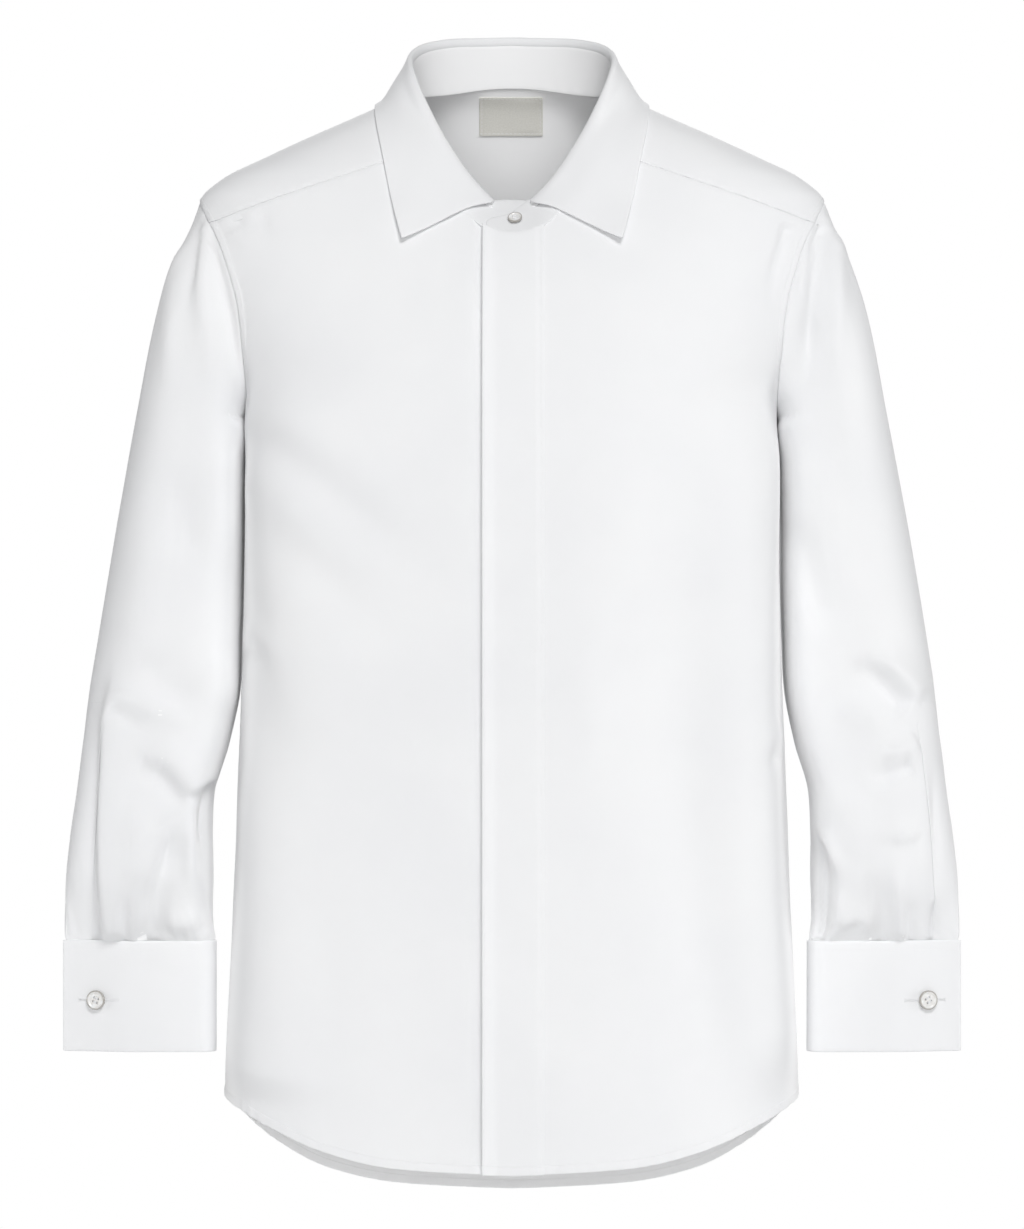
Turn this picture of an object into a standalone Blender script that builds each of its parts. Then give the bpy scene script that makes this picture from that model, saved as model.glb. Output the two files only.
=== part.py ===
"""A long sleeve dress shirt with a fly front, filled out as if worn, with no wearer.

The front faces -Y, the wearer's left is +X, and up is +Z. The origin is the middle of the neck
opening at the height of the neck seam. Sizes and tables are millimetres, and MM makes them metres.
Each cloth piece is a wall: an outer face worked out here, and the same face moved in.
"""

from math import pi, radians

import bmesh
import bpy
import numpy as np
from mathutils import Vector
from mathutils.bvhtree import BVHTree

MM = 0.001

# walls and seams
CLOTH = 1.0
FIRM_CLOTH = 1.3
SEAM_GAP = 0.3

# the body's horizontal rings: half width, and depth in front of and behind y = 0
RING_POWER = 2.4
BODY = {
    "height": (12, 6, 0, -9, -23, -37, -51, -65, -80, -100)
    + (-125, -155, -180, -235, -300, -400, -500, -600, -720, -810),
    "width": (30, 50, 64, 84, 115, 147, 177, 205, 221, 225)
    + (222, 212, 203, 187.5, 188, 190.5, 194, 198, 203, 204),
    "front": (8, 16, 24, 36, 47, 56, 64, 70, 76, 84.5)
    + (95, 106, 114, 125, 128, 127, 126, 127, 129, 130),
    "back": (52, 60, 64, 70, 76, 81, 86, 91, 96, 102)
    + (108, 114, 117, 118.5, 116, 109, 108, 112, 120, 124),
}
SIDE_SEAM_ROWS = (-713.5, -640, -560, -480, -400, -330, -280)

# small steps along a surface, for its slope
TURN_STEP = 0.02
RISE_STEP = 0.3

# the shirt tail's height, from the centre (share 0) round to the side seam (share 1)
HEM = {
    "share": (0.0, 0.2, 0.38, 0.58, 0.76, 0.9, 1.0),
    "front": (-759.5, -755, -744.5, -729, -718.5, -714.5, -713.5),
    "back": (-794, -789, -777.5, -755, -733, -719, -713.5),
}

# the neck hole seen from above, and where the yoke's front and back seams run
NECK = {"side": 73.0, "front": 88.0, "back": 60.0, "power": 2.2}
YOKE_NECK_TURN = radians(40)
NECK_GAP = 0.8
CENTRE_ROOM = {"extra": 2.0, "near": 20.0, "far": 42.0}

# the armhole, an oval seen from the side; the yoke's seams meet it two sleeve columns from its top
ARMHOLE = {"middle": -157.5, "rise": 77.5, "front": 55.0, "back": 58.0}
SLEEVE_COLUMNS = 24
COLUMN_TURN = 2 * pi / SLEEVE_COLUMNS
YOKE_COLUMNS = 2

# the front opening: the fronts' edges and the fly placket that lies over both
FRONT_LEFT_EDGE = 19.5
FRONT_RIGHT_EDGE = 16.0
PLACKET = {"free": -20.0, "sewn": 22.0, "thick": 1.2, "gap": 0.5}

# the line where the leaf rolls over the stand; the turn runs from the side, 90 is the front
ROLL = {
    "turn": (-90, -60, -35, -15, 0, 10, 20, 30, 40, 50, 64, 79, 90),
    "height": (41.5, 40, 35.5, 28.5, 21.5, 15.5, 6, -8, -24.5, -41, -63, -85, -90),
}
ROLL_OVAL = {"side": 71.5, "front": 67.0, "back": 56.0, "power": 2.1}
ROLL_RADIUS = 2.3

# the stand under it, whose ends overlap at the centre front, the wearer's left end on top
STAND_DROP = 6.2
STAND_FOOT = 0.8
OVERLAP = {"left": 17.0, "right": 15.0, "lift": 1.9, "lift_from": 55.0, "lift_full": 77.0}
STAND_END = {"round": 28.0, "low": 0.22, "right_faster": 1.3}

# the leaf's outer edge, against the turn of the roll line it hangs from
LEAF = {
    "turn": (-90, -60, -30, -8, 8, 22, 38, 58, 80.5),
    "x": (0, 45, 79, 94, 95.5, 94, 90, 84, 76),
    "y": (77, 68, 42, 10, -12, -32, -52, -77, -94),
    "height": (-6, -8, -11, -13, -16, -28, -50, -82, -112),
}
LEAF_TURN = radians(80.5)
LEAF_TURNS = np.linspace(LEAF_TURN, -pi - LEAF_TURN, 29)
LEAF_SHARES = (1, 0.8, 0.6, 0.4, 0.2, 0)
LEAF_BULGE = 4.0
LEAF_LIFT = 2.0
LEAF_SEAM_GAP = 0.9
LEAF_SETTLING = 6

# the sleeve's horizontal rings below the cap; fin 1 is the flattened shape of the cuff
SLEEVE = {
    "height": (-270, -310, -350, -390, -430, -465, -500, -530, -560, -585, -597, -605),
    "middle": (232, 236.5, 240, 243.5, 247.5, 253, 260, 262.5, 263.5, 264, 263.5, 262.5),
    "width": (42.5, 45.5, 48.5, 51, 53, 51.5, 48.5, 50, 52, 52.5, 53, 53.7),
    "forward": (-25, -24, -22, -18, -13, -7, -1, 5, 11, 15, 17, 18),
    "depth": (73, 70, 66, 62, 58, 55, 52, 48, 42, 33, 22, 13),
    "fin": (0, 0, 0, 0, 0, 0, 0, 0.05, 0.25, 0.6, 0.85, 1),
}
SLEEVE_POWER = 2.25
CAP_SHARES = (0.0, 0.06, 0.17, 0.34, 0.55, 0.78)
CAP_LEAN_POWER = 0.8
SLEEVE_ROWS = (-308, -348, -388, -424, -456, -488, -520, -552, -578, -594)
BODY_CLEARANCE = 1.6

# the cuff, a band folded at its inner side, its two ends lying together at the outer side
CUFF = {"top": -604.6, "bottom": -681.6, "middle": 262.5, "half": 54.0, "forward": 18.0, "depth": 13.0}
FIN = {"end": 1.7, "length": 52.0}
CUFF_BUTTON = {"inset": 23.5, "height": -646.0}

# the gauntlet strip beside the sleeve slit, on the sleeve's own columns and rows
GAUNTLET = {"first_column": 1, "last_column": 4, "rows": 7, "point": (0.1, 0.45, 0.45, 0.1)}

BUTTON = {"radius": 6.8, "thick": 2.6, "rim": 1.5, "dish": 0.7, "hole": 0.8, "spread": 1.45}
SMALL_BUTTON = {"radius": 5.0, "thick": 2.0, "rim": 1.1, "dish": 0.5, "hole": 0.65, "spread": 1.1}
BUTTON_SEGMENTS = 20
HOLE_SEGMENTS = 8
BUTTON_GAP = 0.6
COLLAR_BUTTON_X = 2.4
COLLAR_BUTTON_SHARE = 0.5
COLLAR_BUTTON_GAP = 0.9

LABEL = {"left": -23.4, "right": 22.0, "top": -0.5, "bottom": -27.0, "thick": 0.8, "gap": 0.9}

WHITE_COTTON = ((0.86, 0.87, 0.88), 0.8)
LABEL_SATIN = ((0.62, 0.61, 0.56), 0.6)
PEARL = ((0.85, 0.85, 0.83), 0.25)


def smooth(table, column, at):
    """A table's column at places along its first column, by a cubic that never overshoots."""
    steps = np.asarray(next(iter(table.values())), float)
    values = np.asarray(table[column], float)
    if steps[0] > steps[-1]:
        steps, values = steps[::-1], values[::-1]
    gaps = np.diff(steps)
    slopes = np.diff(values) / gaps
    same_way = slopes[:-1] * slopes[1:] > 0
    sums = np.where(same_way, slopes[:-1] + slopes[1:], 1)
    inner = np.where(same_way, 2 * slopes[:-1] * slopes[1:] / sums, 0)
    tangents = np.concatenate([slopes[:1], inner, slopes[-1:]])
    at = np.asarray(at, float)
    low = np.clip(np.searchsorted(steps, at) - 1, 0, len(gaps) - 1)
    t = np.clip((at - steps[low]) / gaps[low], -0.5, 1.5)
    bend = tangents[low] * (t - 2 * t**2 + t**3) + tangents[low + 1] * (t**3 - t**2)
    return blend(values[low], values[low + 1], 3 * t**2 - 2 * t**3) + gaps[low] * bend


def blend(start, end, t):
    return start + (end - start) * t


def ease(t):
    t = np.clip(t, 0, 1)
    return t * t * (3 - 2 * t)


def signed_power(value, power):
    return np.sign(value) * np.abs(value) ** power


def point(*axes):
    return np.stack(np.broadcast_arrays(*axes), axis=-1)


def unit(vectors):
    return vectors / np.maximum(np.linalg.norm(vectors, axis=-1, keepdims=True), 1e-9)


def spaced(start, end, count):
    return np.linspace(start, end, count)


# The body's surface is addressed by height and by ring angle: 0 is the wearer's left side,
# -pi/2 the centre front and pi/2 the centre back.


def body_depth(y, height):
    return np.where(np.asarray(y) < 0, smooth(BODY, "front", height), smooth(BODY, "back", height))


def body(angle, height):
    x = smooth(BODY, "width", height) * signed_power(np.cos(angle), 2 / RING_POWER)
    y = body_depth(np.sin(angle), height) * signed_power(np.sin(angle), 2 / RING_POWER)
    return point(x, y, height)


def body_normal(angle, height):
    across = body(angle + TURN_STEP, height) - body(angle - TURN_STEP, height)
    up = body(angle, height + RISE_STEP) - body(angle, height - RISE_STEP)
    return unit(np.cross(across, up))


def angle_at_x(x, height, side):
    """The ring angle at x, on the front for side -1 and on the back for side 1."""
    share = signed_power(x / smooth(BODY, "width", height), RING_POWER / 2)
    return side * np.arccos(np.clip(share, -1, 1))


def angle_at_y(y, height):
    return np.arcsin(signed_power(y / body_depth(y, height), RING_POWER / 2))


def half_width_at(y, height):
    inside = np.clip(1 - np.abs(y / body_depth(y, height)) ** RING_POWER, 0, 1)
    return smooth(BODY, "width", height) * inside ** (1 / RING_POWER)


def ring_value(x, y, height):
    """Below 1 inside the body's ring at that height, and above 1 outside."""
    across, along = x / smooth(BODY, "width", height), y / body_depth(y, height)
    return np.abs(across) ** RING_POWER + np.abs(along) ** RING_POWER


def height_at(x, y):
    """The height of the shoulders over a plan point near the neck."""
    low, high = np.full(np.shape(x), -135.0), np.full(np.shape(x), 11.9)
    for _ in range(40):
        middle = (low + high) / 2
        above = ring_value(x, y, middle) > 1
        low, high = np.where(above, low, middle), np.where(above, middle, high)
    return (low + high) / 2


def oval(shape, turn, extra=0.0):
    """A plan oval's x and y; the turn runs from the wearer's left to the front."""
    depth = np.where(np.sin(turn) > 0, shape["front"], shape["back"]) + extra
    x = (shape["side"] + extra) * signed_power(np.cos(turn), 2 / shape["power"])
    return x, -depth * signed_power(np.sin(turn), 2 / shape["power"])


def oval_turn(shape, x, extra=0.0):
    return np.arccos(signed_power(x / (shape["side"] + extra), shape["power"] / 2))


def neck_point(turn, extra=0.0):
    x, y = oval(NECK, turn, extra)
    return point(x, y, height_at(x, y))


def ring_angle(points):
    x, y, height = np.moveaxis(points, -1, 0)
    across = signed_power(x / smooth(BODY, "width", height), RING_POWER / 2)
    along = signed_power(y / body_depth(y, height), RING_POWER / 2)
    return np.arctan2(along, across)


def armhole(turn):
    """The armhole seam; the turn runs from the shoulder point to the front."""
    depth = np.where(np.sin(turn) > 0, ARMHOLE["front"], ARMHOLE["back"])
    height = ARMHOLE["middle"] + ARMHOLE["rise"] * np.cos(turn)
    return body(angle_at_y(-depth * np.sin(turn), height), height)


YOKE_ARM_TURN = YOKE_COLUMNS * COLUMN_TURN
YOKE_HEIGHT = float(armhole(np.array(YOKE_ARM_TURN))[2])


# Panels are grids between four edges. Rows run upwards and columns anticlockwise from above,
# so that the cross product of the two points out.


def edge(points):
    return point(ring_angle(points), points[..., 2])


def even(first, second):
    """Shares along two facing edges, by their mean length."""
    shares = 0
    for side in (first, second):
        steps = np.linalg.norm(np.diff(side * (120.0, 1.0), axis=0), axis=1)
        shares = shares + np.concatenate([[0], np.cumsum(steps)]) / steps.sum() / 2
    return shares


def panel(bottom, top, left, right):
    """The body's surface between four edges of angles and heights."""
    u, v = even(bottom, top)[None, :, None], even(left, right)[:, None, None]
    rows = blend(bottom[None], top[None], v)
    columns = blend(left[:, None], right[:, None], u)
    corners = blend(blend(bottom[0], bottom[-1], u), blend(top[0], top[-1], u), v)
    grid = rows + columns - corners
    return body(grid[..., 0], grid[..., 1])


def panel_inward(points):
    """Into the body, square to its smooth surface, so that walls meet evenly at a seam."""
    return -body_normal(ring_angle(points), points[..., 2])


def mirrored(points):
    return (points * (-1, 1, 1))[:, ::-1]


def grid_normals(points, closed=False):
    across = np.gradient(points, axis=1)
    if closed:
        across = np.roll(points, -1, axis=1) - np.roll(points, 1, axis=1)
    return unit(np.cross(across, np.gradient(points, axis=0)))


def material(name, finish):
    colour, roughness = finish
    made = bpy.data.materials.new(name)
    made.use_nodes = True
    shader = made.node_tree.nodes["Principled BSDF"]
    shader.inputs["Base Color"].default_value = (*colour, 1)
    shader.inputs["Roughness"].default_value = roughness
    shader.inputs["Metallic"].default_value = 0.0
    return made


def add_object(name, mesh, finish):
    made = bpy.data.objects.new(name, mesh)
    bpy.context.scene.collection.objects.link(made)
    mesh.materials.append(material(name, finish))
    return made


def wall(name, outer, thick=CLOTH, closed=False, inward=None, finish=WHITE_COTTON):
    """A closed solid from a grid of outer points: that face, its inner copy and the edges."""
    if inward is None:
        inward = -grid_normals(outer, closed)
    rows, columns = outer.shape[:2]
    points = np.concatenate([outer.reshape(-1, 3), (outer + thick * inward).reshape(-1, 3)]) * MM
    inner = rows * columns
    last = columns if closed else columns - 1
    faces = []
    for row in range(rows - 1):
        for column in range(last):
            a, b = row * columns + column, row * columns + (column + 1) % columns
            d, c = a + columns, b + columns
            faces += [(a, b, c), (a, c, d)]
            faces += [(c + inner, b + inner, a + inner), (d + inner, c + inner, a + inner)]
    for column in range(last):
        a, b = column, (column + 1) % columns
        faces.append((b, a, a + inner, b + inner))
        a, b = a + (rows - 1) * columns, b + (rows - 1) * columns
        faces.append((a, b, b + inner, a + inner))
    for row in range(0 if closed else rows - 1):
        a, b = row * columns, (row + 1) * columns
        faces.append((a, b, b + inner, a + inner))
        a, b = a + columns - 1, b + columns - 1
        faces.append((b, a, a + inner, b + inner))
    mesh = bpy.data.meshes.new(name)
    mesh.from_pydata(points.tolist(), [], faces)
    mesh.shade_smooth()
    mesh.set_sharp_from_angle(angle=radians(50))
    return add_object(name, mesh, finish)


def side_edge(side):
    """The side seam, then the armhole up to the yoke; side -1 is the front, 1 the back."""
    heights = np.array(SIDE_SEAM_ROWS)
    seam = body(angle_at_y(side * SEAM_GAP / 2, heights), heights)
    turns = COLUMN_TURN * np.arange(SLEEVE_COLUMNS // 2, YOKE_COLUMNS - 1, -1)
    turns[0] -= SEAM_GAP / 2 / ARMHOLE["front"]
    return np.concatenate([edge(seam), edge(armhole(-side * turns))])


def hem_edge(angles, column):
    return point(angles, smooth(HEM, column, np.abs(1 - np.abs(angles) / (pi / 2))))


def yoke_front_seam(count):
    """The front yoke seam, straight in front view, from the neck to the armhole."""
    start, end = neck_point(YOKE_NECK_TURN, NECK_GAP), armhole(YOKE_ARM_TURN)
    line = blend(start, end, spaced(0, 1, count)[:, None])
    return point(angle_at_x(line[:, 0], line[:, 2], -1), line[:, 2])


def centre_room(x):
    """Extra neck clearance beside the overlapping ends of the stand."""
    near, far = CENTRE_ROOM["near"], CENTRE_ROOM["far"]
    return NECK_GAP + CENTRE_ROOM["extra"] * ease((far - np.abs(x)) / (far - near))


def side_climb():
    """The heights of the side edge as shares of its whole rise."""
    heights = side_edge(-1)[:, 1]
    return (heights - heights[0]) / (heights[-1] - heights[0])


def centre_line(x):
    """An upright line near the centre front at x, from the hem to the neck, in the fronts' rows."""
    low = hem_edge(angle_at_x(np.asarray(x), HEM["front"][0], -1), "front")[..., 1]
    room = centre_room(x)
    high = neck_point(oval_turn(NECK, x, room), room)[..., 2]
    heights = blend(low, high, side_climb()[:, None])
    return point(angle_at_x(x, heights, -1), heights)


def front_panel(centre_x):
    """A front from its vertical edge at centre_x out to the side seam and the armhole."""
    right = side_edge(-1)
    right[-1, 1] -= SEAM_GAP
    turns = spaced(oval_turn(NECK, centre_x, centre_room(centre_x)), YOKE_NECK_TURN, 5)
    neck_line = edge(neck_point(turns, centre_room(oval(NECK, turns)[0])))
    neck_line[-1, 1] -= SEAM_GAP
    seam = yoke_front_seam(7)[1:] - (0, SEAM_GAP)
    top = np.concatenate([neck_line, seam])
    top[-1] = right[-1]
    left = centre_line(np.array([centre_x]))[:, 0]
    spread = even(top, top)
    bottom = hem_edge(blend(left[0, 0], right[0, 0], spread), "front")
    return panel(bottom, top, left, right)


def add_fronts():
    left, right = front_panel(FRONT_LEFT_EDGE), mirrored(front_panel(-FRONT_RIGHT_EDGE))
    wall("front_left", left, inward=panel_inward(left))
    wall("front_right", right, inward=panel_inward(right))
    return [left, right]


def add_placket():
    grid = centre_line(spaced(PLACKET["free"], PLACKET["sewn"], 4))
    base = body(grid[..., 0], grid[..., 1])
    inward = panel_inward(base)
    outer = base - (PLACKET["gap"] + PLACKET["thick"]) * inward
    wall("placket", outer, PLACKET["thick"], inward=inward)
    return outer


def add_back():
    right = side_edge(1)
    top_end = right[-1]
    top_angles = spaced(pi / 2, top_end[0], 9)
    top = point(top_angles, np.full(9, YOKE_HEIGHT - SEAM_GAP / 2))
    top[-1] = top_end
    climb = (right[:, 1] - right[0, 1]) / (right[-1, 1] - right[0, 1])
    left = point(np.full(len(right), pi / 2), blend(HEM["back"][0], top[0, 1], climb))
    bottom = hem_edge(spaced(pi / 2, right[0, 0], 9), "back")
    half = panel(bottom, top, left, right)[:, ::-1]
    outer = np.concatenate([half, mirrored(half)[:, 1:]], axis=1)
    wall("back", outer, inward=panel_inward(outer))


def add_yoke():
    """A horseshoe: from the left front seam round the back of the neck to the right one."""
    back_angle = edge(armhole(-YOKE_ARM_TURN))[0]
    back_seam = point(spaced(pi / 2, back_angle, 9), np.full(9, YOKE_HEIGHT + SEAM_GAP / 2))
    arm = edge(armhole(COLUMN_TURN * np.arange(1 - YOKE_COLUMNS, YOKE_COLUMNS + 1)))
    outer_edge = np.concatenate([back_seam, arm])
    neck_line = edge(neck_point(spaced(-pi / 2, YOKE_NECK_TURN, len(outer_edge)), NECK_GAP))
    neck_line[0, 0] = outer_edge[0, 0]
    front_seam = yoke_front_seam(7)[::-1]
    outer_edge[-1], neck_line[-1] = front_seam[0], front_seam[-1]
    centre = point(np.full(7, pi / 2), spaced(outer_edge[0, 1], neck_line[0, 1], 7))
    half = panel(outer_edge, neck_line, centre, front_seam)[:, ::-1]
    outer = np.concatenate([half, mirrored(half)[:, 1:]], axis=1)
    wall("yoke", outer, inward=panel_inward(outer))
    return outer


def roll_point(turn):
    x, y = oval(ROLL_OVAL, turn)
    return point(x, y, smooth(ROLL, "height", np.degrees(np.arcsin(np.sin(turn)))))


def plan_outward(turn):
    """The level direction away from the neck at a turn."""
    ahead = np.stack(oval(ROLL_OVAL, turn + TURN_STEP), axis=-1)
    behind = np.stack(oval(ROLL_OVAL, turn - TURN_STEP), axis=-1)
    along = unit(behind - ahead)
    return point(along[..., 1], -along[..., 0], np.zeros(np.shape(turn)))


def stand_point(turn, share):
    """The stand's outer face from the neck seam (share 0) to the roll line (share 1)."""
    start, full = OVERLAP["lift_from"], OVERLAP["lift_full"]
    lift = OVERLAP["lift"] * ease((np.degrees(turn) - start) / (full - start))
    outward = plan_outward(turn) * lift[..., None]
    return blend(neck_point(turn) - (0, 0, STAND_FOOT), roll_point(turn), share[..., None]) + outward


def roll_frame(turn):
    """The roll line's point, the stand's outward direction there, and up, square to both."""
    top = np.ones(len(turn))
    crest, base = stand_point(turn, top), stand_point(turn, 0 * top)
    ahead, behind = stand_point(turn - TURN_STEP, top), stand_point(turn + TURN_STEP, top)
    along = unit(ahead - behind)
    out = unit(np.cross(along, crest - base))
    return crest, out, np.cross(out, along)


def stand_share(turn):
    """How far up towards the roll line the stand ends and the leaf is sewn on."""
    crest, _, up = roll_frame(turn)
    reach = np.sum((crest - stand_point(turn, np.zeros(len(turn)))) * up, axis=-1)
    return 1 - STAND_DROP / reach


def add_stand():
    """The stand, on the leaf's own columns, with its two rounded ends past the centre."""
    first = float(oval_turn(NECK, -OVERLAP["left"]))
    last = -2 * pi + float(oval_turn(NECK, OVERLAP["right"]))
    shared = LEAF_TURNS[2:-2]
    turns = np.concatenate([spaced(first, shared[0], 8)[:-1], shared, spaced(shared[-1], last, 7)[1:]])
    reach = NECK["side"] * np.minimum(first - turns, (turns - last) * STAND_END["right_faster"])
    corner = np.sqrt(1 - np.clip(1 - reach / STAND_END["round"], 0, 1) ** 2)
    tops = stand_share(turns) * blend(STAND_END["low"], 1, corner)
    shares = spaced(0, 1, 5)[:, None] * tops
    outer = stand_point(np.broadcast_to(turns, shares.shape), shares)
    wall("collar_stand", outer, FIRM_CLOTH)
    return outer


def leaf_edge_point(turn):
    folded = np.degrees(np.arcsin(np.sin(turn)))
    x, y, height = (smooth(LEAF, column, folded) for column in ("x", "y", "height"))
    return point(x * np.sign(np.cos(turn)), y, height)


def draped(rows, carriers, lift):
    """Rows of points, settled so that each lies at least the lift off the grids under it."""
    corners, faces = [], []
    for grid in carriers:
        height, width = grid.shape[:2]
        index = len(corners) + np.arange(height * width).reshape(height, width)
        quads = np.stack([index[:-1, :-1], index[:-1, 1:], index[1:, 1:], index[1:, :-1]], axis=-1)
        corners += grid.reshape(-1, 3).tolist()
        faces += quads.reshape(-1, 4).tolist()
    tree = BVHTree.FromPolygons(corners, faces)
    rows = rows.copy()
    for step in range(LEAF_SETTLING + 1):
        if step:
            rows[1:-1, 1:-1] = rows[1:-1, 1:-1] / 2 + (
                rows[:-2, 1:-1] + rows[2:, 1:-1] + rows[1:-1, :-2] + rows[1:-1, 2:]
            ) / 8
        for spot in rows[:-1].reshape(-1, 3):
            near, normal, _, _ = tree.find_nearest(spot.tolist())
            short = lift - (Vector(spot) - near).dot(normal)
            spot += np.array(normal) * max(short, 0)
    return rows


def add_leaf(carriers):
    crest, out, up = roll_frame(LEAF_TURNS)
    seam = stand_point(LEAF_TURNS, stand_share(LEAF_TURNS))
    middle = crest - ROLL_RADIUS * up + (ROLL_RADIUS - FIRM_CLOTH) * out
    shares = np.array(LEAF_SHARES)[:, None, None]
    bulge = 4 * LEAF_BULGE * shares * (1 - shares) * out
    fall = blend(middle + ROLL_RADIUS * out, leaf_edge_point(LEAF_TURNS), shares) + bulge
    bends = np.radians((60, 120, 180))[:, None, None]
    roll = middle + ROLL_RADIUS * (np.cos(bends) * out + np.sin(bends) * up)
    inside = seam - FIRM_CLOTH * out + LEAF_SEAM_GAP * up
    rows = [draped(fall, carriers, CLOTH + LEAF_LIFT), roll, inside[None]]
    wall("collar_leaf", np.concatenate(rows), CLOTH)


def fin_depth(from_outer, width, depth):
    """Half the thickness of a flattened tube: a thin outer end, and a round inner fold."""
    swell = blend(FIN["end"], depth, ease(from_outer / FIN["length"]))
    fold = np.clip((from_outer - (2 * width - depth)) / depth, 0, 1)
    return swell * np.sqrt(1 - fold**2)


def sleeve_ring(turn, height):
    """The sleeve's section at a height; the turn runs from its outer side to the front."""
    middle, width, forward, depth, fin = (
        smooth(SLEEVE, column, height) for column in ("middle", "width", "forward", "depth", "fin")
    )
    across = signed_power(np.cos(turn), 2 / SLEEVE_POWER)
    along = signed_power(np.sin(turn), 2 / SLEEVE_POWER)
    flat = fin_depth(width * (1 - across), width, depth) * np.clip(4 * np.abs(along), 0, 1)
    y = -forward - np.sign(along) * blend(depth * np.abs(along), flat, fin)
    x = np.maximum(middle + width * across, half_width_at(y, height) + BODY_CLEARANCE)
    return point(x, y, np.broadcast_to(height, np.shape(x)))


def cap_rows(turns):
    """The sleeve head, swept from the armhole seam to the first full ring."""
    seam = armhole(turns)
    angles = ring_angle(seam)
    normal = body_normal(angles, seam[:, 2])
    along = armhole(turns + TURN_STEP) - armhole(turns - TURN_STEP)
    into = unit(np.cross(normal, along))
    to_middle = point(seam[:, 0], 0.0, ARMHOLE["middle"]) - seam
    into = into * np.sign(np.sum(into * to_middle, axis=1, keepdims=True))
    lean = (pi / 2 * ((1 - np.cos(turns)) / 2) ** CAP_LEAN_POWER)[:, None]
    leaving = np.cos(lean) * into + np.sin(lean) * normal
    seam_normal = np.cos(lean) * normal - np.sin(lean) * into
    first_ring, next_ring = map(float, SLEEVE["height"][:2])
    start, end = seam + SEAM_GAP * into, sleeve_ring(turns, first_ring)
    arriving = unit(sleeve_ring(turns, (first_ring + next_ring) / 2) - end)
    underarm = ARMHOLE["middle"] - ARMHOLE["rise"] - RISE_STEP
    reach = np.linalg.norm(end - start, axis=1, keepdims=True)
    rows = []
    for t in CAP_SHARES:
        row = start * (1 - 3 * t**2 + 2 * t**3) + end * (3 * t**2 - 2 * t**3)
        row = row + reach * (leaving * (t - 2 * t**2 + t**3) + arriving * (t**3 - t**2))
        if t > 0:
            hugging = half_width_at(row[:, 1], row[:, 2]) + BODY_CLEARANCE
            row[:, 0] = np.where(row[:, 2] < underarm, np.maximum(row[:, 0], hugging), row[:, 0])
        rows.append(row)
    return rows + [end], seam_normal


def sleeve_grid():
    """The sleeve's outer points from the cuff up, and the directions into its wall."""
    turns = -COLUMN_TURN * np.arange(SLEEVE_COLUMNS)
    rows, seam_normal = cap_rows(turns)
    rows += [sleeve_ring(turns, float(height)) for height in SLEEVE_ROWS]
    rows.append(sleeve_ring(turns, CUFF["top"] + SEAM_GAP))
    outer = np.stack(rows)[::-1]
    inward = -grid_normals(outer, closed=True)
    inward[-1] = -seam_normal
    inward[0] = unit(inward[0] * (1, 1, 0))
    return outer, inward


def on_side(side, *grids):
    return grids if side > 0 else tuple(mirrored(grid) for grid in grids)


def add_sleeve(name, side):
    outer, inward = on_side(side, *sleeve_grid())
    wall(name, outer, CLOTH, closed=True, inward=inward)


def add_gauntlet(name, side):
    """A strip on the sleeve's own points, from the cuff up to a blunt point."""
    columns = -np.arange(GAUNTLET["last_column"], GAUNTLET["first_column"] - 1, -1)
    rows = GAUNTLET["rows"]
    strips = []
    for grid in sleeve_grid():
        strip = grid[: rows + 1, columns]
        peak = blend(strip[-2], strip[-1], np.array(GAUNTLET["point"])[:, None])
        strips.append(np.concatenate([strip[:-1], peak[None]]))
    base, inward = on_side(side, *strips)
    wall(name, base - (SEAM_GAP + CLOTH) * inward, CLOTH, inward=inward)


def cuff_point(inset, height, face):
    """The cuff's outer surface, measured in from its outer edge; face 1 is the front."""
    depth = fin_depth(inset, CUFF["half"], CUFF["depth"])
    return point(CUFF["middle"] + CUFF["half"] - inset, -CUFF["forward"] - face * depth, height)


def add_cuff(name, side):
    width = 2 * CUFF["half"]
    fold = width - CUFF["depth"] * (1 - np.sin(spaced(0, pi / 2, 5)))
    insets = np.concatenate([(0, 9, 18, 27, 37, 48, 62, 78), fold])
    heights = spaced(CUFF["bottom"], CUFF["top"], 2)[:, None]
    back = cuff_point(insets, heights, -1)
    front = cuff_point(insets[::-1], heights, 1)
    outer = np.concatenate([back, front[:, 1:]], axis=1)
    wall(name, outer if side > 0 else mirrored(outer), FIRM_CLOTH)


def add_button(name, size, place, facing):
    """A dished four-hole button whose back lies at its place, facing along a direction."""
    radius, thick = size["radius"], size["thick"]
    soft, rim, floor = 0.35 * thick, radius - size["rim"], thick - size["dish"]
    profile = [
        (0, 0), (radius - soft, 0), (radius, soft), (radius, thick - soft),
        (radius - soft / 2, thick), (rim, thick), (rim - size["dish"], floor), (0, floor),
    ]
    shape = bmesh.new()
    ring = [shape.verts.new((x * MM, 0, z * MM)) for x, z in profile]
    edges = [shape.edges.new(pair) for pair in zip(ring, ring[1:])]
    bmesh.ops.spin(
        shape, geom=ring + edges, axis=(0, 0, 1), cent=(0, 0, 0), steps=BUTTON_SEGMENTS, angle=2 * pi
    )
    bmesh.ops.remove_doubles(shape, verts=shape.verts, dist=1e-6)
    bmesh.ops.recalc_face_normals(shape, faces=shape.faces)
    mesh = bpy.data.meshes.new(name)
    shape.to_mesh(mesh)
    shape.free()
    mesh.shade_smooth()
    mesh.set_sharp_from_angle(angle=radians(35))
    button = add_object(name, mesh, PEARL)
    button.location = Vector(place) * MM
    button.rotation_euler = Vector(facing).to_track_quat("Z", "Y").to_euler()
    cut_holes(button, size)


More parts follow.
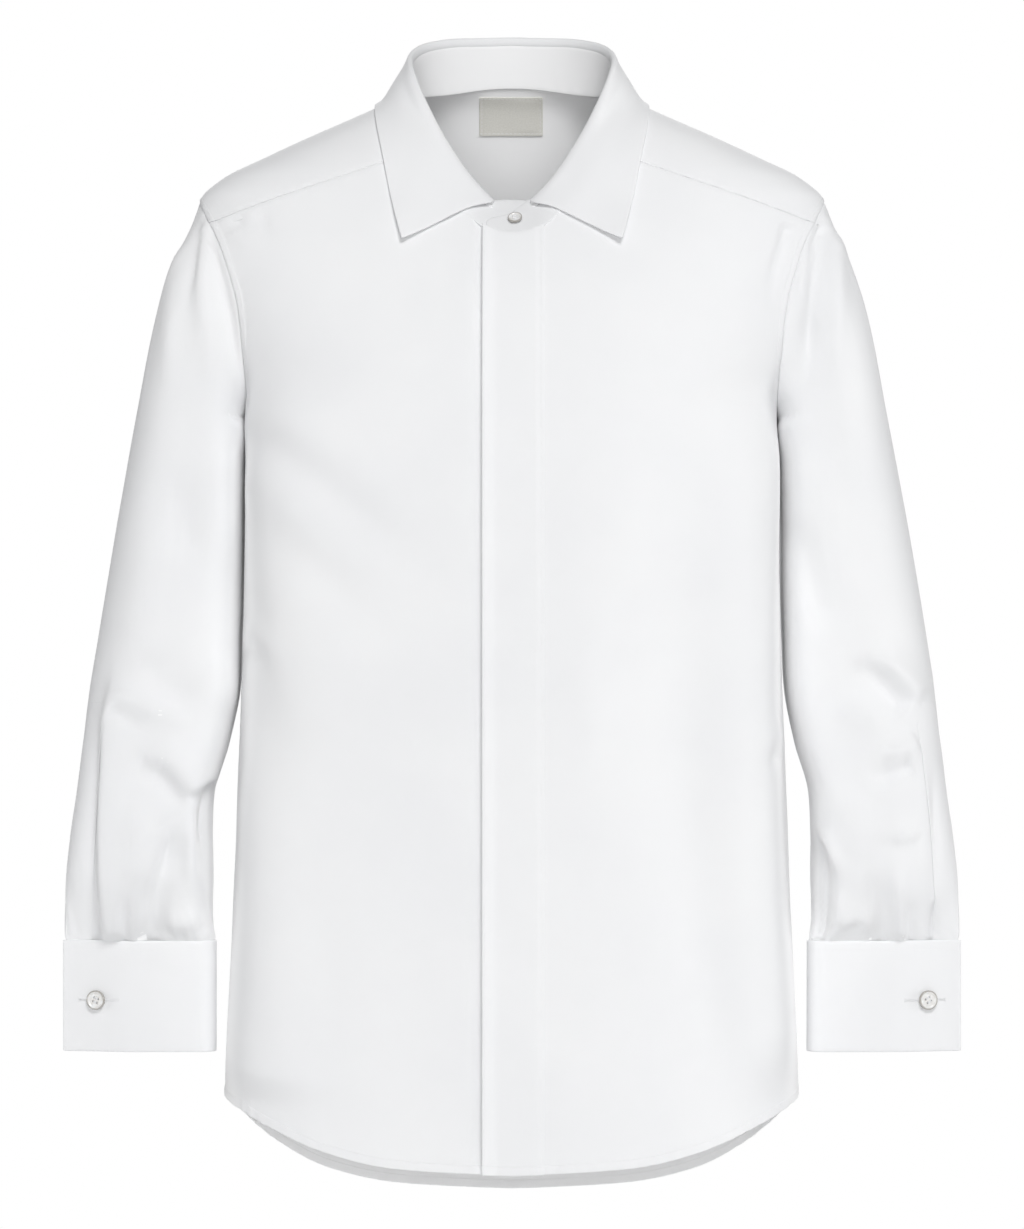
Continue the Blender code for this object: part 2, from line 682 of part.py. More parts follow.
def cut_holes(button, size):
    holes = bmesh.new()
    radius, depth = size["hole"] * MM, 4 * size["thick"] * MM
    for x in (-1, 1):
        for y in (-1, 1):
            made = bmesh.ops.create_cone(
                holes, cap_ends=True, segments=HOLE_SEGMENTS, radius1=radius, radius2=radius, depth=depth
            )
            spot = Vector((x, y, 0)) * size["spread"] * MM
            bmesh.ops.translate(holes, verts=made["verts"], vec=spot)
    mesh = bpy.data.meshes.new(button.name + "_holes")
    holes.to_mesh(mesh)
    holes.free()
    cutter = bpy.data.objects.new(button.name + "_holes", mesh)
    bpy.context.scene.collection.objects.link(cutter)
    cutter.parent = button
    cutter.hide_render = True
    cutter.display_type = "WIRE"
    cut = button.modifiers.new("holes", "BOOLEAN")
    cut.operation = "DIFFERENCE"
    cut.solver = "EXACT"
    cut.object = cutter


def add_cuff_button(name, side):
    inset, height = CUFF_BUTTON["inset"], CUFF_BUTTON["height"]
    spot = cuff_point(inset, height, 1)
    along = cuff_point(inset - 1, height, 1) - cuff_point(inset + 1, height, 1)
    normal = unit(np.cross(along, (0, 0, 1.0)))
    place = (spot + BUTTON_GAP * normal) * (side, 1, 1)
    add_button(name, BUTTON, place, normal * (side, 1, 1))


def add_collar_button():
    turn = oval_turn(NECK, np.array(COLLAR_BUTTON_X))
    share = np.array(COLLAR_BUTTON_SHARE)
    spot = stand_point(turn, share)
    up = stand_point(turn, share + TURN_STEP) - spot
    across = stand_point(turn - TURN_STEP, share) - stand_point(turn + TURN_STEP, share)
    normal = unit(np.cross(across, up))
    add_button("collar_button", SMALL_BUTTON, spot + COLLAR_BUTTON_GAP * normal, normal)


def add_label():
    across = spaced(LABEL["right"], LABEL["left"], 7)
    heights = spaced(LABEL["bottom"], LABEL["top"], 4)[:, None]
    across, heights = np.broadcast_arrays(across, heights)
    base = body(angle_at_x(across, heights, 1), heights)
    inward = panel_inward(base)
    outer = base + (CLOTH + LABEL["gap"]) * inward
    wall("label", outer, LABEL["thick"], inward=inward, finish=LABEL_SATIN)


for old in list(bpy.data.objects):
    bpy.data.objects.remove(old, do_unlink=True)

collar_carriers = add_fronts()
collar_carriers += [add_placket(), add_yoke(), add_stand()]
add_leaf(collar_carriers)
add_back()
add_label()
add_collar_button()
for wearer_side, sign in (("left", 1), ("right", -1)):
    add_sleeve("sleeve_" + wearer_side, sign)
    add_gauntlet("gauntlet_" + wearer_side, sign)
    add_cuff("cuff_" + wearer_side, sign)
    add_cuff_button("cuff_button_" + wearer_side, sign)
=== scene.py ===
from math import pi, radians

import bmesh
import bpy
import numpy as np
from mathutils import Matrix, Vector
from mathutils.bvhtree import BVHTree


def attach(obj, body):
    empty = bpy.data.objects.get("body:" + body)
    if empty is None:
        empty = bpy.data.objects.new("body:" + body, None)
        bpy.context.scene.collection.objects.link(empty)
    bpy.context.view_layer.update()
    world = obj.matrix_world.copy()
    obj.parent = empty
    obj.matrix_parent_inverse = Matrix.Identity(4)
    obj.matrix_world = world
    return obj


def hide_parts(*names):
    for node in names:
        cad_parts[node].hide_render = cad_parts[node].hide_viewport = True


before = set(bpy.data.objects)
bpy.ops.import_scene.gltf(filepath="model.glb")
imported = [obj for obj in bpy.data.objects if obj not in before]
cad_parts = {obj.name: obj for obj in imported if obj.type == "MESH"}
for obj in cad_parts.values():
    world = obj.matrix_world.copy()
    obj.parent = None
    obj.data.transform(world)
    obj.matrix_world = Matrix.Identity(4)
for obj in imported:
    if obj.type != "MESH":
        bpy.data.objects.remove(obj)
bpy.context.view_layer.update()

# tables and sizes are millimetres, the front faces -Y and the wearer's left is +X
mm = 0.001
turnStep = 0.02  # small steps along a surface, for its slope
riseStep = 0.3

bodyRings = {
    "height": (12, 6, 0, -9, -23, -37, -51, -65, -80, -100)
    + (-125, -155, -180, -235, -300, -400, -500, -600, -720, -810),
    "width": (30, 50, 64, 84, 115, 147, 177, 205, 221, 225)
    + (222, 212, 203, 187.5, 188, 190.5, 194, 198, 203, 204),
    "front": (8, 16, 24, 36, 47, 56, 64, 70, 76, 84.5)
    + (95, 106, 114, 125, 128, 127, 126, 127, 129, 130),
    "back": (52, 60, 64, 70, 76, 81, 86, 91, 96, 102)
    + (108, 114, 117, 118.5, 116, 109, 108, 112, 120, 124),
    "power": (2.4,) * 12 + (2.42, 2.47, 2.55, 2.62, 2.65, 2.65, 2.65, 2.65),
}
hemRise = {
    "share": (0.0, 0.2, 0.38, 0.58, 0.76, 0.9, 1.0),
    "front": (-759.5, -755, -744.5, -729, -718.5, -714.5, -713.5),
    "back": (-794, -789, -777.5, -755, -733, -719, -713.5),
}
neck = {"side": 73.0, "front": 88.0, "back": 60.0, "power": 2.2, "gap": 0.8}
centreRoom = {"near": 20.0, "far": 42.0}
armholeOval = {"middle": -157.5, "rise": 77.5, "front": 55.0, "back": 58.0}
seamGap = 0.3
yokeNeckTurn = radians(40)
yokeArmTurn = {"front": radians(40), "back": radians(30)}

# how many steps each edge of a panel takes, for the cloth and for the rough shape under the collar
fineSteps = {
    "side": 140, "arm": 64, "neck": 36, "seam": 48, "back": 80, "cap": 22, "top": -238.5, "room": -0.5,
}
roughSteps = {"side": 6, "arm": 10, "neck": 4, "seam": 6, "back": 8, "cap": 4, "top": -280.0, "room": 2.0}
# extra lines at fractional steps in from an edge, where the cloth turns sharply
turnLines = {"hem": (0.3, 1.55, 1.8), "backHem": (0.3, 1.4, 1.65), "arm": (0.3, 1.35, 1.6)}

cloth = {
    "thick": 0.6, "rim": 0.15, "fold": 6.0, "foldRaise": 0.15, "fell": 5.0, "fellRaise": 0.5, "step": 0.6,
    "tuck": 0.35, "tuckWide": 1.6, "allowance": 7.0, "allowanceThick": 0.4, "allowanceGap": 0.35,
}
# size and pitch of the small waves along each kind of seam
waves = {"arm": (0.32, 11.0), "seam": (0.3, 12.0), "hem": (0.6, 13.0)}
farAway = 99.0
foldScale = {"front": 1.25, "back": 1.5}


def smooth(table, column, at):
    # a table's column, read by a cubic that never overshoots
    steps = np.asarray(next(iter(table.values())), float)
    values = np.asarray(table[column], float)
    if steps[0] > steps[-1]:
        steps, values = steps[::-1], values[::-1]
    gaps = np.diff(steps)
    slopes = np.diff(values) / gaps
    sameWay = slopes[:-1] * slopes[1:] > 0
    sums = np.where(sameWay, slopes[:-1] + slopes[1:], 1)
    inner = np.where(sameWay, 2 * slopes[:-1] * slopes[1:] / sums, 0)
    tangents = np.concatenate([slopes[:1], inner, slopes[-1:]])
    at = np.asarray(at, float)
    low = np.clip(np.searchsorted(steps, at) - 1, 0, len(gaps) - 1)
    t = np.clip((at - steps[low]) / gaps[low], -0.5, 1.5)
    bend = tangents[low] * (t - 2 * t**2 + t**3) + tangents[low + 1] * (t**3 - t**2)
    return blend(values[low], values[low + 1], 3 * t**2 - 2 * t**3) + gaps[low] * bend


def spline(knots, values, at):
    # a natural cubic through rows of points
    gaps, count = np.diff(knots), len(knots)
    flat = values.reshape(count, -1)
    slopes = np.diff(flat, axis=0) / gaps[:, None]
    system, bends = np.eye(count), np.zeros_like(flat)
    for k in range(1, count - 1):
        system[k, k - 1:k + 2] = gaps[k - 1], 2 * (gaps[k - 1] + gaps[k]), gaps[k]
        bends[k] = 6 * (slopes[k] - slopes[k - 1])
    bends = np.linalg.solve(system, bends)
    low = np.clip(np.searchsorted(knots, at, side="right") - 1, 0, count - 2)
    gap = gaps[low][:, None]
    t = (at - knots[low])[:, None] / gap
    s = 1 - t
    read = s * flat[low] + t * flat[low + 1]
    read = read + ((s**3 - s) * bends[low] + (t**3 - t) * bends[low + 1]) * gap**2 / 6
    return read.reshape(len(at), *values.shape[1:])


def blend(start, end, t):
    return start + (end - start) * t


def ease(t):
    t = np.clip(t, 0, 1)
    return t * t * (3 - 2 * t)


def signedPower(value, power):
    return np.sign(value) * np.abs(value) ** power


def point(*axes):
    return np.stack(np.broadcast_arrays(*axes), axis=-1)


def unit(vectors):
    return vectors / np.maximum(np.linalg.norm(vectors, axis=-1, keepdims=True), 1e-9)


def lengths(points, axis=0):
    return np.linalg.norm(np.diff(points, axis=axis), axis=-1)


def soFar(steps):
    # distances from the first row on
    return np.concatenate([np.zeros_like(steps[:1]), np.cumsum(steps, axis=0)])


def dot(first, second):
    return np.sum(first * second, axis=-1, keepdims=True)


def gridNormals(points, closed=False):
    across = np.gradient(points, axis=1)
    if closed:
        across = np.roll(points, -1, axis=1) - np.roll(points, 1, axis=1)
    return unit(np.cross(across, np.gradient(points, axis=0)))


def readRows(rows, places):
    # rows of a grid at fractional places
    low = np.minimum(places.astype(int), len(rows) - 2)
    return blend(rows[low], rows[low + 1], (places - low).reshape(-1, *[1] * (rows.ndim - 1)))


# the body's surface by ring angle and height: 0 is the wearer's left, -90 degrees the front


def squareness(height):
    return smooth(bodyRings, "power", height)


def bodyDepth(y, height):
    front = np.asarray(y) < 0
    return np.where(front, smooth(bodyRings, "front", height), smooth(bodyRings, "back", height))


def body(angle, height):
    x = smooth(bodyRings, "width", height) * signedPower(np.cos(angle), 2 / squareness(height))
    y = bodyDepth(np.sin(angle), height) * signedPower(np.sin(angle), 2 / squareness(height))
    return point(x, y, height)


def bodyNormal(angle, height):
    across = body(angle + turnStep, height) - body(angle - turnStep, height)
    up = body(angle, height + riseStep) - body(angle, height - riseStep)
    return unit(np.cross(across, up))


def onBody(angles):
    return body(angles[..., 0], angles[..., 1]), bodyNormal(angles[..., 0], angles[..., 1])


def angleAtX(x, height, side):
    share = signedPower(x / smooth(bodyRings, "width", height), squareness(height) / 2)
    return side * np.arccos(np.clip(share, -1, 1))


def angleAtY(y, height):
    return np.arcsin(signedPower(y / bodyDepth(y, height), squareness(height) / 2))


def halfWidthAt(y, height):
    inside = np.clip(1 - np.abs(y / bodyDepth(y, height)) ** squareness(height), 0, 1)
    return smooth(bodyRings, "width", height) * inside ** (1 / squareness(height))


def heightAt(x, y):
    # the height of the shoulders over a plan point near the neck, by halving
    low, high = np.full(np.shape(x), -135.0), np.full(np.shape(x), 11.9)
    for _ in range(40):
        middle = (low + high) / 2
        across = np.abs(x / smooth(bodyRings, "width", middle)) ** squareness(middle)
        above = across + np.abs(y / bodyDepth(y, middle)) ** squareness(middle) > 1
        low, high = np.where(above, low, middle), np.where(above, middle, high)
    return (low + high) / 2


def oval(shape, turn, extra=0.0):
    # a plan oval; the turn runs from the wearer's left to the front
    depth = np.where(np.sin(turn) > 0, shape["front"], shape["back"]) + extra
    x = (shape["side"] + extra) * signedPower(np.cos(turn), 2 / shape["power"])
    return x, -depth * signedPower(np.sin(turn), 2 / shape["power"])


def ovalTurn(shape, x, extra=0.0):
    return np.arccos(signedPower(x / (shape["side"] + extra), shape["power"] / 2))


def neckPoint(turn, extra=0.0):
    x, y = oval(neck, turn, extra)
    return point(x, y, heightAt(x, y))


def ringAngle(points):
    x, y, height = np.moveaxis(points, -1, 0)
    across = signedPower(x / smooth(bodyRings, "width", height), squareness(height) / 2)
    return np.arctan2(signedPower(y / bodyDepth(y, height), squareness(height) / 2), across)


def armhole(turn):
    # the turn runs from the shoulder point to the front
    depth = np.where(np.sin(turn) > 0, armholeOval["front"], armholeOval["back"])
    height = armholeOval["middle"] + armholeOval["rise"] * np.cos(turn)
    return body(angleAtY(-depth * np.sin(turn), height), height)


yokeHeight = float(armhole(np.array(yokeArmTurn["back"]))[2])


# panels between four edges of ring angles and heights


def edge(points):
    return point(ringAngle(points), points[..., 2])


def even(first, second):
    shares = 0
    for side in (first, second):
        steps = lengths(side * (120.0, 1.0))
        shares = shares + soFar(steps) / steps.sum() / 2
    return shares


def panel(bottom, top, left, right):
    u, v = even(bottom, top)[None, :, None], even(left, right)[:, None, None]
    rows = blend(bottom[None], top[None], v)
    columns = blend(left[:, None], right[:, None], u)
    corners = blend(blend(bottom[0], bottom[-1], u), blend(top[0], top[-1], u), v)
    return rows + columns - corners


def mirrored(points):
    return (points * (-1, 1, 1))[:, ::-1]


def mirroredPanel(angles):
    # the same panel on the wearer's other side
    side = point(np.arctan2(np.sin(angles[..., 0]), -np.cos(angles[..., 0])), angles[..., 1])
    return side[:, ::-1]


def edgeFirst(grid, side):
    # a grid turned so that this edge is its first row
    grid = grid.swapaxes(0, 1) if side in ("left", "right") else grid
    return grid[::-1] if side in ("top", "right") else grid


def edgeBack(grid, side):
    grid = grid[::-1] if side in ("top", "right") else grid
    return grid.swapaxes(0, 1) if side in ("left", "right") else grid


def moreLines(angles, side, places):
    turned = edgeFirst(angles, side)
    return edgeBack(readRows(turned, np.sort(np.concatenate([np.arange(len(turned)), places]))), side)


def sideEdge(side, steps):
    heights = np.linspace(hemRise["front"][-1], steps["top"], steps["side"] + 1)
    seam = body(angleAtY(side * seamGap / 2, heights), heights)
    turns = np.linspace(pi, yokeArmTurn["back" if side > 0 else "front"], steps["arm"] + 1)
    turns[0] -= seamGap / 2 / armholeOval["front"]
    return np.concatenate([edge(seam), edge(armhole(-side * turns))])


def hemEdge(angles, column):
    return point(angles, smooth(hemRise, column, np.abs(1 - np.abs(angles) / (pi / 2))))


def yokeFrontSeam(count):
    start, end = neckPoint(yokeNeckTurn, neck["gap"]), armhole(yokeArmTurn["front"])
    line = blend(start, end, np.linspace(0, 1, count)[:, None])
    return point(angleAtX(line[:, 0], line[:, 2], -1), line[:, 2])


def roomAt(x, steps):
    near, far = centreRoom["near"], centreRoom["far"]
    return neck["gap"] + steps["room"] * ease((far - np.abs(x)) / (far - near))


def centreLine(x, steps):
    low = hemEdge(angleAtX(np.asarray(x), hemRise["front"][0], -1), "front")[..., 1]
    room = roomAt(x, steps)
    high = neckPoint(ovalTurn(neck, x, room), room)[..., 2]
    side = sideEdge(-1, steps)
    heights = blend(low, high, even(side, side)[:, None])
    return point(angleAtX(x, heights, -1), heights)


def frontPanel(centreX, steps):
    right = sideEdge(-1, steps)
    right[-1, 1] -= seamGap
    turns = np.linspace(ovalTurn(neck, centreX, roomAt(centreX, steps)), yokeNeckTurn, steps["neck"] + 1)
    neckLine = edge(neckPoint(turns, roomAt(oval(neck, turns)[0], steps)))
    neckLine[-1, 1] -= seamGap
    seam = yokeFrontSeam(steps["seam"] + 1)[1:] - (0, seamGap)
    top = np.concatenate([neckLine, seam])
    top[-1] = right[-1]
    left = centreLine(np.array([centreX]), steps)[:, 0]
    bottom = hemEdge(blend(left[0, 0], right[0, 0], even(top, top)), "front")
    return panel(bottom, top, left, right)


def backPanel(steps):
    right = sideEdge(1, steps)
    count = steps["back"] + 1
    top = point(np.linspace(pi / 2, right[-1, 0], count), np.full(count, yokeHeight - seamGap / 2))
    top[-1] = right[-1]
    left = point(np.full(len(right), pi / 2), blend(hemRise["back"][0], top[0, 1], even(right, right)))
    bottom = hemEdge(np.linspace(pi / 2, right[0, 0], count), "back")
    half = panel(bottom, top, left, right)[:, ::-1]
    return np.concatenate([half, mirroredPanel(half)[:, 1:]], axis=1)


def yokePanel(steps):
    backAngle = edge(armhole(-yokeArmTurn["back"]))[0]
    count = steps["back"] + 1
    backSeam = point(np.linspace(pi / 2, backAngle, count), np.full(count, yokeHeight + seamGap / 2))
    arm = edge(armhole(np.linspace(-yokeArmTurn["back"], yokeArmTurn["front"], steps["cap"] + 1)[1:]))
    outerEdge = np.concatenate([backSeam, arm])
    neckLine = edge(neckPoint(np.linspace(-pi / 2, yokeNeckTurn, len(outerEdge)), neck["gap"]))
    neckLine[0, 0] = outerEdge[0, 0]
    rows = steps["seam"] + 1
    frontSeam = yokeFrontSeam(rows)[::-1]
    outerEdge[-1], neckLine[-1] = frontSeam[0], frontSeam[-1]
    centre = point(np.full(rows, pi / 2), np.linspace(outerEdge[0, 1], neckLine[0, 1], rows))
    half = panel(outerEdge, neckLine, centre, frontSeam)[:, ::-1]
    return np.concatenate([half, mirroredPanel(half)[:, 1:]], axis=1)


# Folds stand out or lie in beside a path that is seen from the front or the back. A row has the rise, the
# width left and right of the path, how crisp it is, the share that fades at each end, and the path's x and z.


def foldTable(*rows):
    table = []
    for rise, left, right, crisp, fadeIn, fadeOut, *spots in rows:
        path = np.array(spots, float).reshape(-1, 2)
        knots = soFar(lengths(path))
        path = spline(knots, path, np.linspace(0, knots[-1], 16)) if len(path) > 2 else path
        table.append({"rise": rise, "wide": (left, right), "path": path, "crisp": crisp, "fade": (fadeIn, fadeOut)})
    return table


def besidePath(x, z, path):
    # signed distance to a path, positive on its left, and how far along it that is
    spans = np.diff(path, axis=0)
    spanLengths = lengths(path)
    best = np.full(x.shape, 1e9)
    signed, share = np.zeros(x.shape), np.zeros(x.shape)
    for (px, pz), (dx, dz), length, start in zip(path, spans, spanLengths, soFar(spanLengths)):
        t = np.clip(((x - px) * dx + (z - pz) * dz) / length**2, 0, 1)
        offX, offZ = x - px - t * dx, z - pz - t * dz
        away = np.hypot(offX, offZ)
        nearer = away < best
        best = np.where(nearer, away, best)
        side = np.where(dx * offZ - dz * offX >= 0, 1, -1)
        signed = np.where(nearer, away * side, signed)
        share = np.where(nearer, (start + t * length) / spanLengths.sum(), share)
    return signed, share


def relief(points, folds):
    x, z = points[..., 0], points[..., 2]
    height = np.zeros(x.shape)
    for item in folds:
        signed, share = besidePath(x, z, item["path"])
        wide = np.where(signed > 0, item["wide"][0], item["wide"][1])
        start, end = item["fade"]
        taper = ease(share / max(start, 1e-3)) * ease((1 - share) / max(end, 1e-3))
        height += item["rise"] * np.exp(-((np.abs(signed) / wide) ** item["crisp"])) * taper
    return height


def ripple(points, size, seed):
    # a slow unevenness of the whole cloth
    chance = np.random.default_rng(seed)
    height = np.zeros(points.shape[:-1])
    for _ in range(9):
        way = unit(chance.normal(size=3) * (1, 1, 0.55))
        height += np.sin(points @ way * 2 * pi / chance.uniform(55, 170) + chance.uniform(0, 2 * pi))
    return size * height / 3


def puckers(inset, along, size, pitch, seed, reach=9.0):
    # small waves along a seam, that die away from it
    chance = np.random.default_rng(seed)
    phase = along * 2 * pi / pitch
    for _ in range(3):
        phase = phase + 1.3 * np.sin(along * 2 * pi / chance.uniform(30, 90) + chance.uniform(0, 6))
    strength = 0.6 + 0.4 * np.sin(along * 2 * pi / chance.uniform(60, 110) + chance.uniform(0, 6))
    return size * strength * np.sin(phase) * np.exp(-np.maximum(inset, 0) / reach)


def insets(points):
    # how far each point is from the four edges of its grid, and along them
    left = soFar(lengths(points, 1).T).T
    bottom = soFar(lengths(points))
    return {"left": left, "right": left[:, -1:] - left, "bottom": bottom, "top": bottom[-1:] - bottom}


frontFolds = foldTable(
    # the wearer's right half, on the left as seen
    (8.0, 42, 22, 2.0, 0.15, 0.5, -166, -200, -163, -280, -156, -360, -146, -440, -132, -520),
    (7.0, 38, 20, 2.0, 0.3, 0.1, -168, -450, -168, -560, -171, -640, -177, -716),
    (2.8, 16, 22, 2.0, 0.2, 0.5, -184, -205, -118, -262, -29, -336),
    (-2.4, 14, 18, 2.0, 0.2, 0.5, -186, -236, -128, -285, -52, -352),
    (2.6, 14, 20, 2.0, 0.2, 0.5, -182, -262, -136, -306, -60, -378),
    (-2.0, 16, 16, 2.0, 0.3, 0.5, -176, -300, -130, -345, -70, -420),
    (-2.4, 7, 12, 1.6, 0.2, 0.6, -186, -392, -176, -403, -160, -411),
    (1.8, 9, 12, 2.0, 0.2, 0.6, -186, -380, -168, -392, -146, -402),
    (1.6, 4, 5, 1.5, 0.1, 0.8, -196, -103, -188, -112, -178, -122),
    (-1.6, 4, 5, 1.5, 0.1, 0.8, -192, -92, -191, -101, -187, -116),
    (-1.5, 4, 6, 1.5, 0.1, 0.8, -176, -91, -173, -101, -166, -118),
    (-1.7, 7, 5, 1.5, 0.3, 0.4, -198, -136, -192, -162, -187, -192),
    (-1.8, 10, 16, 2.0, 0.3, 0.6, -60, -118, -44, -150, -30, -196),
    (1.8, 18, 26, 2.0, 0.5, 0.3, -120, -520, -96, -600, -84, -700),
    (-1.8, 16, 24, 2.0, 0.4, 0.3, -150, -500, -134, -590, -126, -700),
    (-1.6, 12, 14, 2.0, 0.5, 0.5, -50, -430, -62, -520, -54, -600),
    # the wearer's left half
    (10.5, 15, 30, 2.0, 0.12, 0.1, 172, -205, 168, -300, 165, -420, 169, -560, 178, -716),
    (1.8, 3.5, 4, 1.5, 0.1, 0.7, 188, -97, 184, -116, 177, -140),
    (-3.2, 5, 6, 1.5, 0.1, 0.6, 194, -98, 189, -117, 183, -141, 179, -166),
    (-3.4, 26, 34, 2.0, 0.25, 0.45, 190, -200, 132, -268, 88, -332),
    (1.8, 22, 30, 2.0, 0.3, 0.5, 176, -250, 142, -330, 138, -430),
    (-4.6, 26, 34, 2.0, 0.3, 0.1, 136, -270, 124, -380, 122, -500, 134, -600, 142, -716),
    (-2.2, 6, 11, 1.6, 0.2, 0.7, 188, -470, 176, -477, 160, -486),
    (1.6, 9, 12, 2.0, 0.2, 0.7, 190, -452, 172, -462, 150, -470),
    (1.6, 16, 22, 2.0, 0.5, 0.5, 60, -300, 52, -420, 58, -560),
    (1.8, 16, 22, 2.0, 0.5, 0.2, 108, -560, 118, -640, 150, -712),
)
backFolds = foldTable(
    (2.9, 12, 16, 2.0, 0.2, 0.5, 186, -200, 120, -248, 44, -300),
    (-2.2, 12, 14, 2.0, 0.2, 0.5, 184, -232, 128, -280, 60, -330),
    (2.7, 14, 14, 2.0, 0.2, 0.5, -188, -214, -124, -270, -52, -330),
    (-2.3, 12, 16, 2.0, 0.2, 0.5, -184, -246, -132, -300, -74, -350),
    (3.2, 14, 18, 2.0, 0.4, 0.4, -170, -392, -60, -408, 66, -398, 150, -380),
    (-2.5, 12, 15, 2.0, 0.4, 0.4, -150, -424, -40, -438, 90, -428),
    (2.2, 12, 16, 2.0, 0.5, 0.3, -60, -456, 40, -462, 160, -440),
    (-1.8, 9, 12, 2.0, 0.5, 0.5, 120, -512, 20, -520, -90, -506),
    (1.6, 3.5, 4.5, 1.5, 0.05, 0.7, -4, -792, -3, -742, -6, -690),
    (2.3, 16, 22, 2.0, 0.4, 0.2, 96, -480, 104, -600, 90, -740),
    (-2.0, 14, 22, 2.0, 0.4, 0.2, -110, -500, -104, -620, -118, -730),
    (1.8, 5, 7, 1.6, 0.02, 0.8, 108, -92, 112, -130, 104, -176),
    (1.8, 5, 7, 1.6, 0.02, 0.8, -104, -92, -110, -134, -103, -182),
    (-1.6, 5, 6, 1.6, 0.02, 0.8, 122, -92, 128, -126, 122, -160),
    (-1.6, 5, 6, 1.6, 0.02, 0.8, -118, -92, -126, -124, -120, -164),
)


def bodyRelief(points, outward):
    towardFront, towardBack = ease((0.1 - outward[..., 1]) / 0.4), ease((0.1 + outward[..., 1]) / 0.4)
    height = foldScale["front"] * relief(points, frontFolds) * towardFront * (points[..., 1] < 0)
    height += foldScale["back"] * relief(points, backFolds) * towardBack * (points[..., 1] >= 0)
    return (height + ripple(points, 0.28, 4)) * ease((-20 - points[..., 2]) / 60)


# cloth meshes: outer and inner faces with a rounded edge, UV in metres, and marks for the finish


def quads(grid):
    return np.stack([grid[:-1, :-1], grid[:-1, 1:], grid[1:, 1:], grid[1:, :-1]], -1).reshape(-1, 4)


def island(outer, inward, thick, closed=False, rim=None, marks=None):
    rows, columns = outer.shape[:2]
    thick = np.broadcast_to(np.asarray(thick, float), (rows, columns))[..., None]
    points = [outer.reshape(-1, 3), (outer + thick * inward).reshape(-1, 3)]
    total = rows * columns
    wide = columns + 1 if closed else columns
    spot = np.arange(total).reshape(rows, columns)
    ring = spot[:, np.arange(wide) % columns]
    full = outer[:, np.arange(wide) % columns]
    uv = point(soFar(lengths(full, 1).mean(axis=0)), soFar(lengths(outer).mean(axis=1))[:, None])
    corner = np.arange(rows * wide).reshape(rows, wide)
    faces = [quads(ring), quads(ring)[:, ::-1] + total]
    places = [quads(corner), quads(corner)[:, ::-1]]
    owners = [spot.reshape(-1), spot.reshape(-1)]
    if closed:
        loops = [(ring[0], corner[0]), (ring[-1, ::-1], corner[-1, ::-1])]
    else:
        around = [(0, slice(0, -1)), (slice(0, -1), -1), (-1, slice(None, 0, -1)), (slice(None, 0, -1), 0)]
        lines = [np.concatenate([grid[part] for part in around]) for grid in (spot, corner)]
        loops = [[np.append(line, line[0]) for line in lines]]
    count = 2 * total
    for line, place in loops:
        owner = line[:-1]
        border, out = outer.reshape(-1, 3)[owner], -inward.reshape(-1, 3)[owner]
        half = thick.reshape(-1, 1)[owner] / 2
        aside = unit(np.cross(np.roll(border, -1, axis=0) - np.roll(border, 1, axis=0), out))
        swell = half if rim is None else np.minimum(half, rim)
        levels = [owner]
        for bend in np.radians((45, 90, 135)):
            points.append(border - half * out + half * np.cos(bend) * out + swell * np.sin(bend) * aside)
            owners.append(owner)
            levels.append(count + np.arange(len(owner)))
            count += len(owner)
        levels.append(owner + total)
        for high, low in zip(levels, levels[1:]):
            faces.append(np.stack([np.roll(high, -1), high, low, np.roll(low, -1)], -1))
            places.append(np.stack([place[1:], place[:-1], place[:-1], place[1:]], -1))
    owners = np.concatenate(owners)
    read = {}
    for mark, values in (marks or {}).items():
        read[mark] = np.broadcast_to(values, (rows, columns)).reshape(-1)[owners]
    within = np.repeat((0.0, 1.0, 0.0), (total, total, len(owners) - 2 * total))
    # painted light: inner faces and cloth marked pale get the inside mark, which paints them brighter
    read["inside"] = np.maximum(within, read.pop("pale", 0.0))
    return np.concatenate(points), np.concatenate(faces), uv.reshape(-1, 2)[np.concatenate(places)], read


grids = {}  # the outer points and outward directions of each piece, for its sewing
markNames = ("foldInset", "fellInset", "seamInset", "inside")


def clothPiece(name, outer, out, thick, marks=None, rim=None, closed=False, more=(), slotName="cotton"):
    grids[name] = (outer, out)
    points, faces, uvs = [], [], []
    marked = {mark: [] for mark in markNames}
    count = 0
    for vertices, corners, places, read in (island(outer, -out, thick, closed, rim, marks), *more):
        points.append(vertices)
        faces.append(corners + count)
        uvs.append(places.reshape(-1, 2))
        for mark in markNames:
            marked[mark].append(read.get(mark, np.full(len(vertices), farAway)))
        count += len(vertices)
    mesh = bpy.data.meshes.new(name + "_cloth")
    mesh.from_pydata((np.concatenate(points) * mm).tolist(), [], np.concatenate(faces).tolist())
    mesh.uv_layers.new(name="cloth").data.foreach_set("uv", np.concatenate(uvs).reshape(-1) * mm)
    for mark, values in marked.items():
        made = mesh.attributes.new(mark, "FLOAT", "POINT")
        made.data.foreach_set("value", np.concatenate(values).astype(np.float32))
    mesh.shade_smooth()
    addPiece(name + "_cloth", mesh, finishes[slotName], name)


def addPiece(name, mesh, look, cadNode=None):
    piece = bpy.data.objects.new(name, mesh)
    bpy.context.scene.collection.objects.link(piece)
    mesh.materials.clear()
    mesh.materials.append(look)
    if cadNode:
        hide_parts(cadNode)
    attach(piece, "root")


